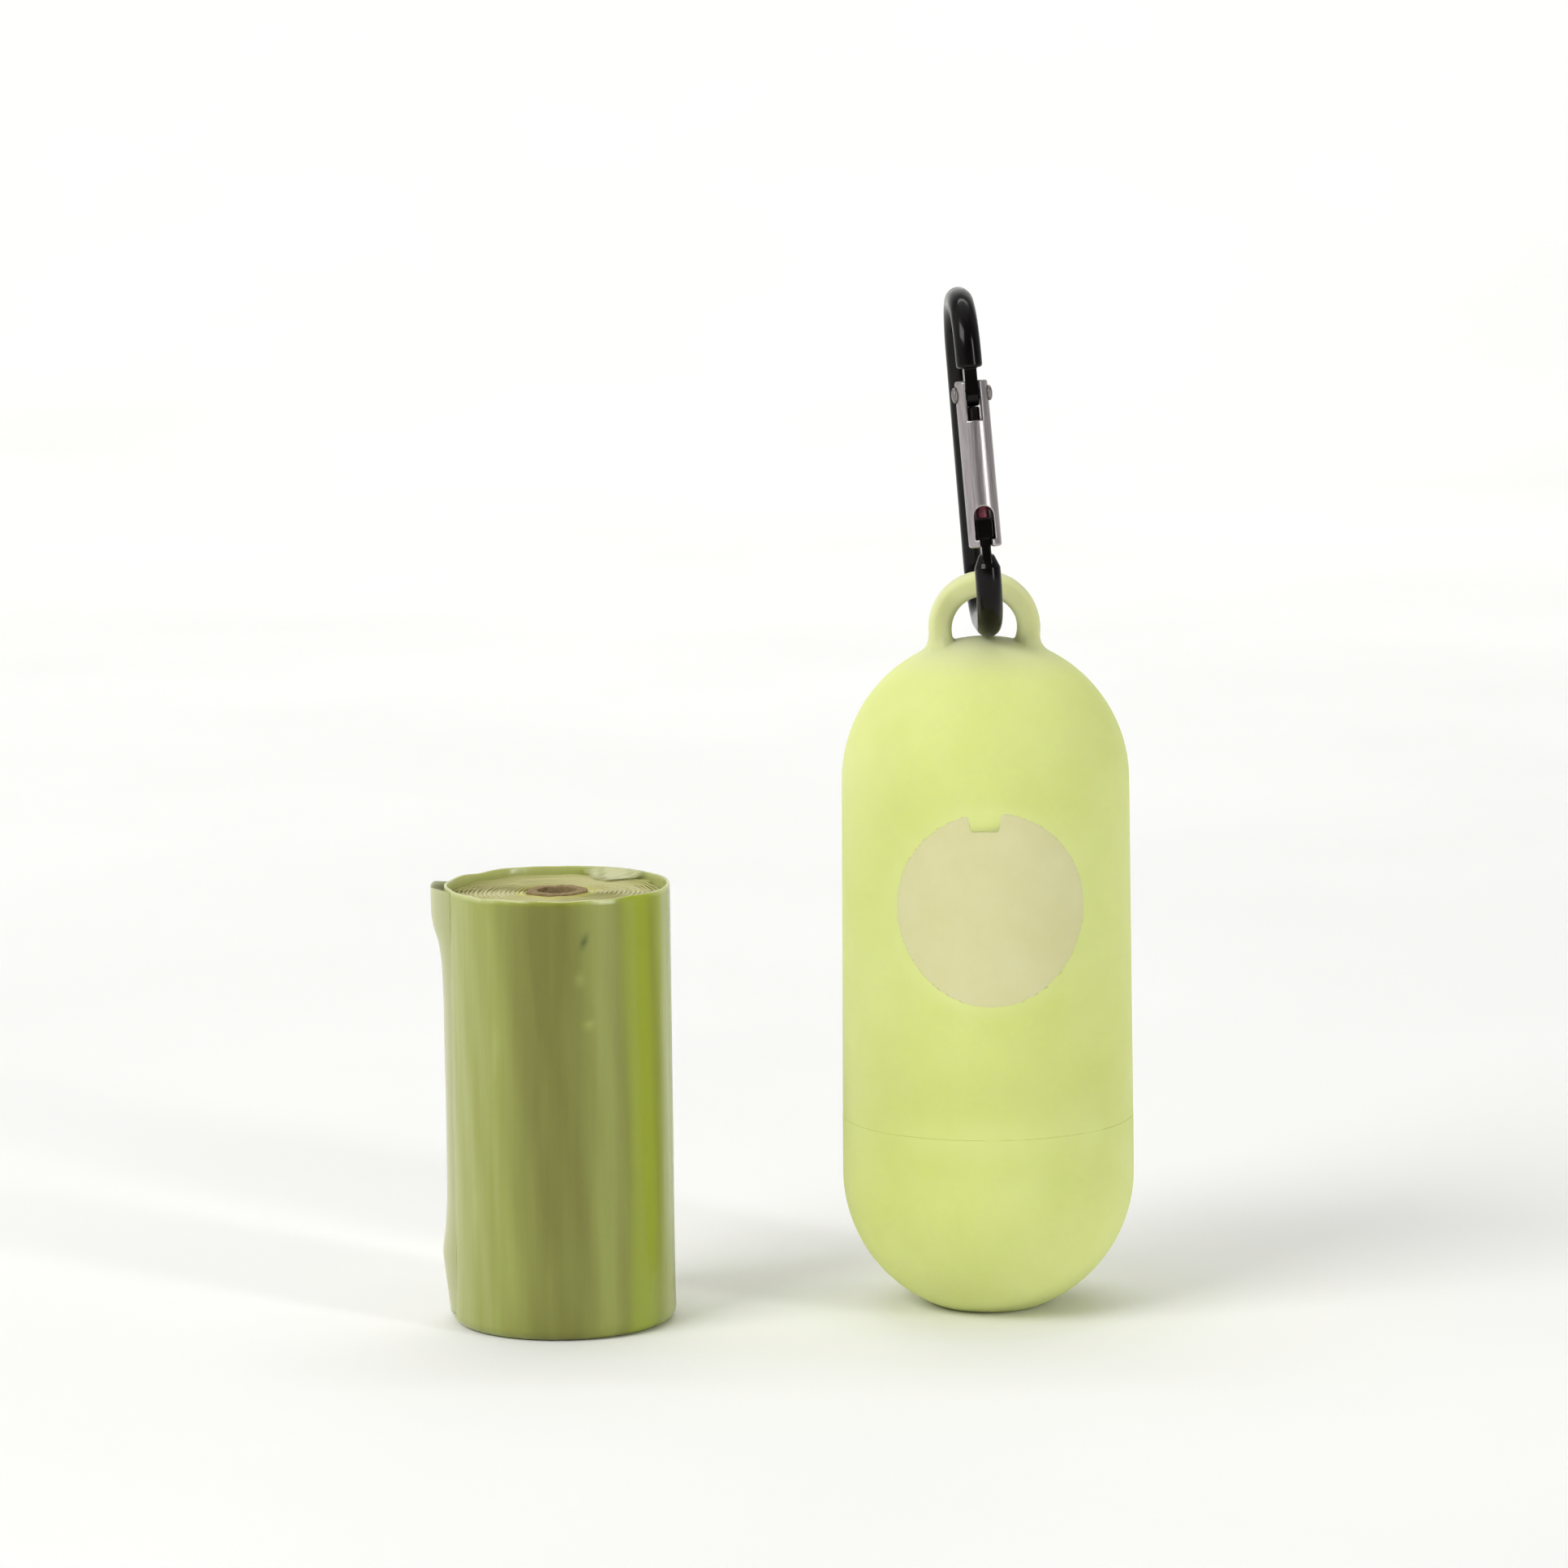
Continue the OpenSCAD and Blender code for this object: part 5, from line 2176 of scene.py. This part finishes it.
        upright = add_node(
            tree, "GeometryNodeSetCurveNormal", settings={"mode": "Z_UP"},
            links={"Curve": moved.outputs["Geometry"]},
        )
        body = add_node(
            tree, "GeometryNodeCurveToMesh", inputs={"Fill Caps": True},
            links={"Curve": upright.outputs["Curve"], "Profile Curve": ribbon.outputs["Curve"]},
        )
        at = Matrix.Translation((*self.centre, self.low + self.length))
        return solve_nodes("refill_layer_edges", tree, body.outputs["Mesh"], values, material, at)

    def build_flap(self) -> tuple[Object, tuple[float, float]]:
        """Build the wrap's clear loose edge, which stands off at the side.

        Returns:
            The new object, and its flat width and length in metres.
        """
        span = 61
        levels = np.linspace(self.flap_low, self.height, 90)
        fine = np.arange(self.flap_low - 3, self.height + 3, 0.1)
        stops, sizes = zip(*self.flap_lifts)
        window = np.hanning(23)
        smooth = np.convolve(np.interp(fine, stops, sizes), window / window.sum(), "same")
        angles = np.radians(180 + np.linspace(-self.flap_span / 2, self.flap_span / 2, span))
        index = np.arange(span)
        inward = np.minimum(index, span - 1 - index)
        edge, bond = eased(risen(inward, 0, 18)), eased(risen(inward, 0, 24))
        wave = ripple(41, 5, 5, 15)
        points = []
        for z in levels:
            lift = np.interp(z, fine, smooth)
            high = risen(z, 50, 10)
            bonded = self.wrap_slack(angles, z) - 0.1
            loose = 0.05 + lift + (0.03 + 0.09 * high) * wave(angles + 0.02 * z)
            r = self.wrap_r + bonded + (loose - bonded) * edge
            up = z - 0.35 * high * (1 - edge) + 0.12 * high * wave(angles * 1.3)
            points.append(around(self.centre, angles, r, up))
        air = np.tile(bond, (len(levels), 1))
        return film_sheet("refill_flap_film", np.array(points), air, self.flap_t)

    def build_fold(self) -> Object:
        """Build the crumpled corner of film folded in over the roll's end.

        Returns:
            The new object.
        """
        span, rows = 65, 21
        angles = np.radians(np.linspace(self.fold_from, self.fold_to, span))
        fade = np.sin(np.pi * np.linspace(0.03, 0.97, span)) ** 0.7
        crumple, crease, slack = ripple(51, 7, 9, 37), ripple(53, 6, 15, 60), ripple(52, 6, 5, 23)
        points, air = [], []
        for s in np.linspace(0, 1, rows):
            reach = self.fold_reach * fade * (1 + 0.3 * slack(angles))
            r = self.wrap_r - self.wrap_t - 0.1 - reach * s
            wave = crumple(angles + 0.22 * s) + 0.3 * crease(angles - 0.3 * s)
            z = self.height - 0.02 - 1.0 * np.sin(min(s * 2.4, 1.5)) * fade**0.5
            z = z + 0.14 * math.sin(math.pi * min(s * 1.2, 0.8)) * wave
            points.append(around(self.centre, angles, r, z))
            air.append((0.85 + 0.35 * wave) * (1 - 0.6 * s**3) * np.minimum(1, 1.6 * fade**2))
        return film_sheet("refill_fold_film", np.array(points), np.array(air), self.flap_t)[0]

    def build(self) -> None:
        """Build the spare roll and dress it."""
        board = KraftBoard("kraft_board_spare", centre=self.centre).build()
        place(self.core("refill_core_tube"), "refill", board, ("refill_core",))
        ends = WoundEnd("film_edges", centre=self.centre).build()
        place(self.windings("refill_film_roll"), "refill", ends,
              ("refill_windings",))
        place(self.build_spiral(ends), "refill", None)
        wrap = self.build_wrap()
        angle, reach, level = polar(wrap, self.centre)
        inside = (reach < self.wrap_r - 0.6 * self.wrap_t) & (level > 4)
        air = self.wrap_air_and_light(angle, level)
        # Painted light: the inner wall is made pale, paler on one side than the other, for light
        # that shines through the film from behind.
        air = np.where(inside, 0.88 - 0.12 * np.cos(angle - 1.2), air)
        taut = np.where(inside, 0.35 * np.exp(-(((np.degrees(angle) - 74) / 12) ** 2)),
                        self.wrap_taut(angle, level))
        # The pinch share paints the shadow of a small crease.
        set_air(wrap, air, taut, self.crease_shade_spot.share(np.degrees(angle), level) * ~inside)
        film = BlownFilm("lime_film_wrapped", Film.WRAPPED).build()
        place(wrap, "refill", film, ("refill_outer_wrap",))
        edge = BlownFilm("clear_film_edge", Film.LOOSE, "#b9be84", "#cbce9f", "#dfdcb8",
                         veil=0.75, clear=(0.0, 0.06)).build()
        loose = BlownFilm("clear_film_loose", Film.LOOSE, "#bfc288", "#cdcf98", "#dcdcac",
                          veil=0.66).build()
        flap, flat = self.build_flap()
        place(flap, "refill", edge, ("refill_loose_end",))
        place(self.build_fold(), "refill", loose)


# ---- studio


@dataclass(frozen=True)
class Softbox:
    """Flat soft lamp: place, size and aim in metres, power in watts."""

    name: str
    at: tuple[float, float, float]
    size: tuple[float, float]
    power: float
    aim: tuple[float, float, float] = (-0.03, 0.0, 0.06)

    def hang(self) -> None:
        """Hang the lamp."""
        data = bpy.data.lights.new(self.name, "AREA")
        data.shape = "RECTANGLE"
        data.size, data.size_y = self.size
        data.energy = self.power
        lamp = bpy.data.objects.new(self.name, data)
        lamp.location = self.at
        away = Vector(self.at) - Vector(self.aim)
        lamp.rotation_euler = away.to_track_quat("Z", "Y").to_euler()
        bpy.context.scene.collection.objects.link(lamp)


@dataclass
class Studio:
    """Pale sweep, soft lights and the camera.

    The eye is in millimetres, the sweep in metres, and angles are in degrees.
    """

    focal_px: float = 8416.0
    image_px: float = 1932.0
    sensor: float = 36.0
    eye: tuple[float, float, float] = (-30.8, -917.3, 208.7)
    yaw: float = 0.215
    pitch: float = 8.464
    roll: float = -0.691
    dim_side: float = 0.1
    bright_side: float = 0.68
    dim_turn: float = 28.0
    boxes: tuple[Softbox, ...] = (
        Softbox("key_box", (-0.78, -0.62, 0.8), (0.7, 0.5), 8.4),
        Softbox("strip_box", (0.74, -0.7, 0.25), (0.12, 0.9), 4.8),
        Softbox("top_box", (0.0, 0.1, 1.3), (1.1, 1.1), 1.0),
        Softbox("back_box", (0.0, 0.7, 1.7), (1.6, 0.6), 22.0, (0.0, 1.9, 0.8)),
    )
    floor_front: float = -3.0
    bend_from: float = 1.1
    bend_r: float = 0.8
    wall_top: float = 3.5
    floor_half: float = 3.5

    def camera(self) -> None:
        """Set up the camera."""
        yaw, pitch, roll = (math.radians(a) for a in (self.yaw, self.pitch, self.roll))
        ahead = Vector((math.sin(yaw) * math.cos(pitch), math.cos(yaw) * math.cos(pitch),
                        -math.sin(pitch)))
        right = Vector((math.cos(yaw), -math.sin(yaw), 0))
        up = right.cross(ahead)
        right, up = (math.cos(roll) * right + math.sin(roll) * up,
                     -math.sin(roll) * right + math.cos(roll) * up)
        data = bpy.data.cameras.new("camera")
        data.sensor_width = self.sensor
        data.lens = self.focal_px / self.image_px * self.sensor
        data.clip_end = 20
        camera = bpy.data.objects.new("camera", data)
        matrix = Matrix((right, up, -ahead)).transposed().to_4x4()
        matrix.translation = Vector(self.eye) * MM
        camera.matrix_world = matrix
        bpy.context.scene.collection.objects.link(camera)
        bpy.context.scene.camera = camera

    def sweep(self) -> None:
        """Build the floor that curves up behind."""
        path = [(self.floor_front, 0.0), (self.bend_from, 0.0)]
        path += [(self.bend_from + self.bend_r * math.sin(t), self.bend_r * (1 - math.cos(t)))
                 for t in np.linspace(0.1, math.pi / 2, 14)]
        path += [(self.bend_from + self.bend_r, self.wall_top)]
        points = [
            (side * self.floor_half / MM, y / MM, z / MM) for y, z in path for side in (-1, 1)
        ]
        faces = [(2 * i, 2 * i + 1, 2 * i + 3, 2 * i + 2) for i in range(len(path) - 1)]
        floor = mesh_object("studio_floor", np.array(points), faces)
        floor.data.materials.append(PaleSweep("pale_sweep").build())

    def room(self) -> bpy.types.World:
        """Make the room's light: white walls, and a dim side behind the camera and to its right.

        Returns:
            The world.
        """
        world = bpy.data.worlds.new("room")
        world.use_nodes = True
        tree = world.node_tree
        back = tree.nodes["Background"]
        coords = add_node(tree, "ShaderNodeTexCoord")
        turn = math.radians(self.dim_turn)
        away = add_node(
            tree, "ShaderNodeVectorMath", settings={"operation": "DOT_PRODUCT"},
            inputs={1: (-math.sin(turn), math.cos(turn), 0.0)},
            links={0: coords.outputs["Generated"]},
        )
        wall = add_node(
            tree, "ShaderNodeMapRange", settings={"interpolation_type": "SMOOTHSTEP"},
            inputs={"From Min": -0.95, "From Max": 0.35, "To Min": self.dim_side,
                    "To Max": self.bright_side},
            links={"Value": away.outputs["Value"]},
        )
        tree.links.new(wall.outputs["Result"], back.inputs["Color"])
        return world

    def build(self) -> None:
        """Build the studio."""
        self.camera()
        self.sweep()
        for box in self.boxes:
            box.hang()
        scene = bpy.context.scene
        scene.world = self.room()
        scene.view_settings.view_transform = "Standard"
        scene.view_settings.look = "None"


def main() -> None:
    """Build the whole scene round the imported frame."""
    logging.basicConfig(level=logging.INFO, format="%(name)s: %(message)s")
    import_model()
    Studio().build()
    disc = FrontDisc()
    Capsule(disc=disc).build()
    disc.build()
    Clip().build()
    LoadedRoll().build()
    RefillRoll().build()


if __name__ == "__main__":
    main()
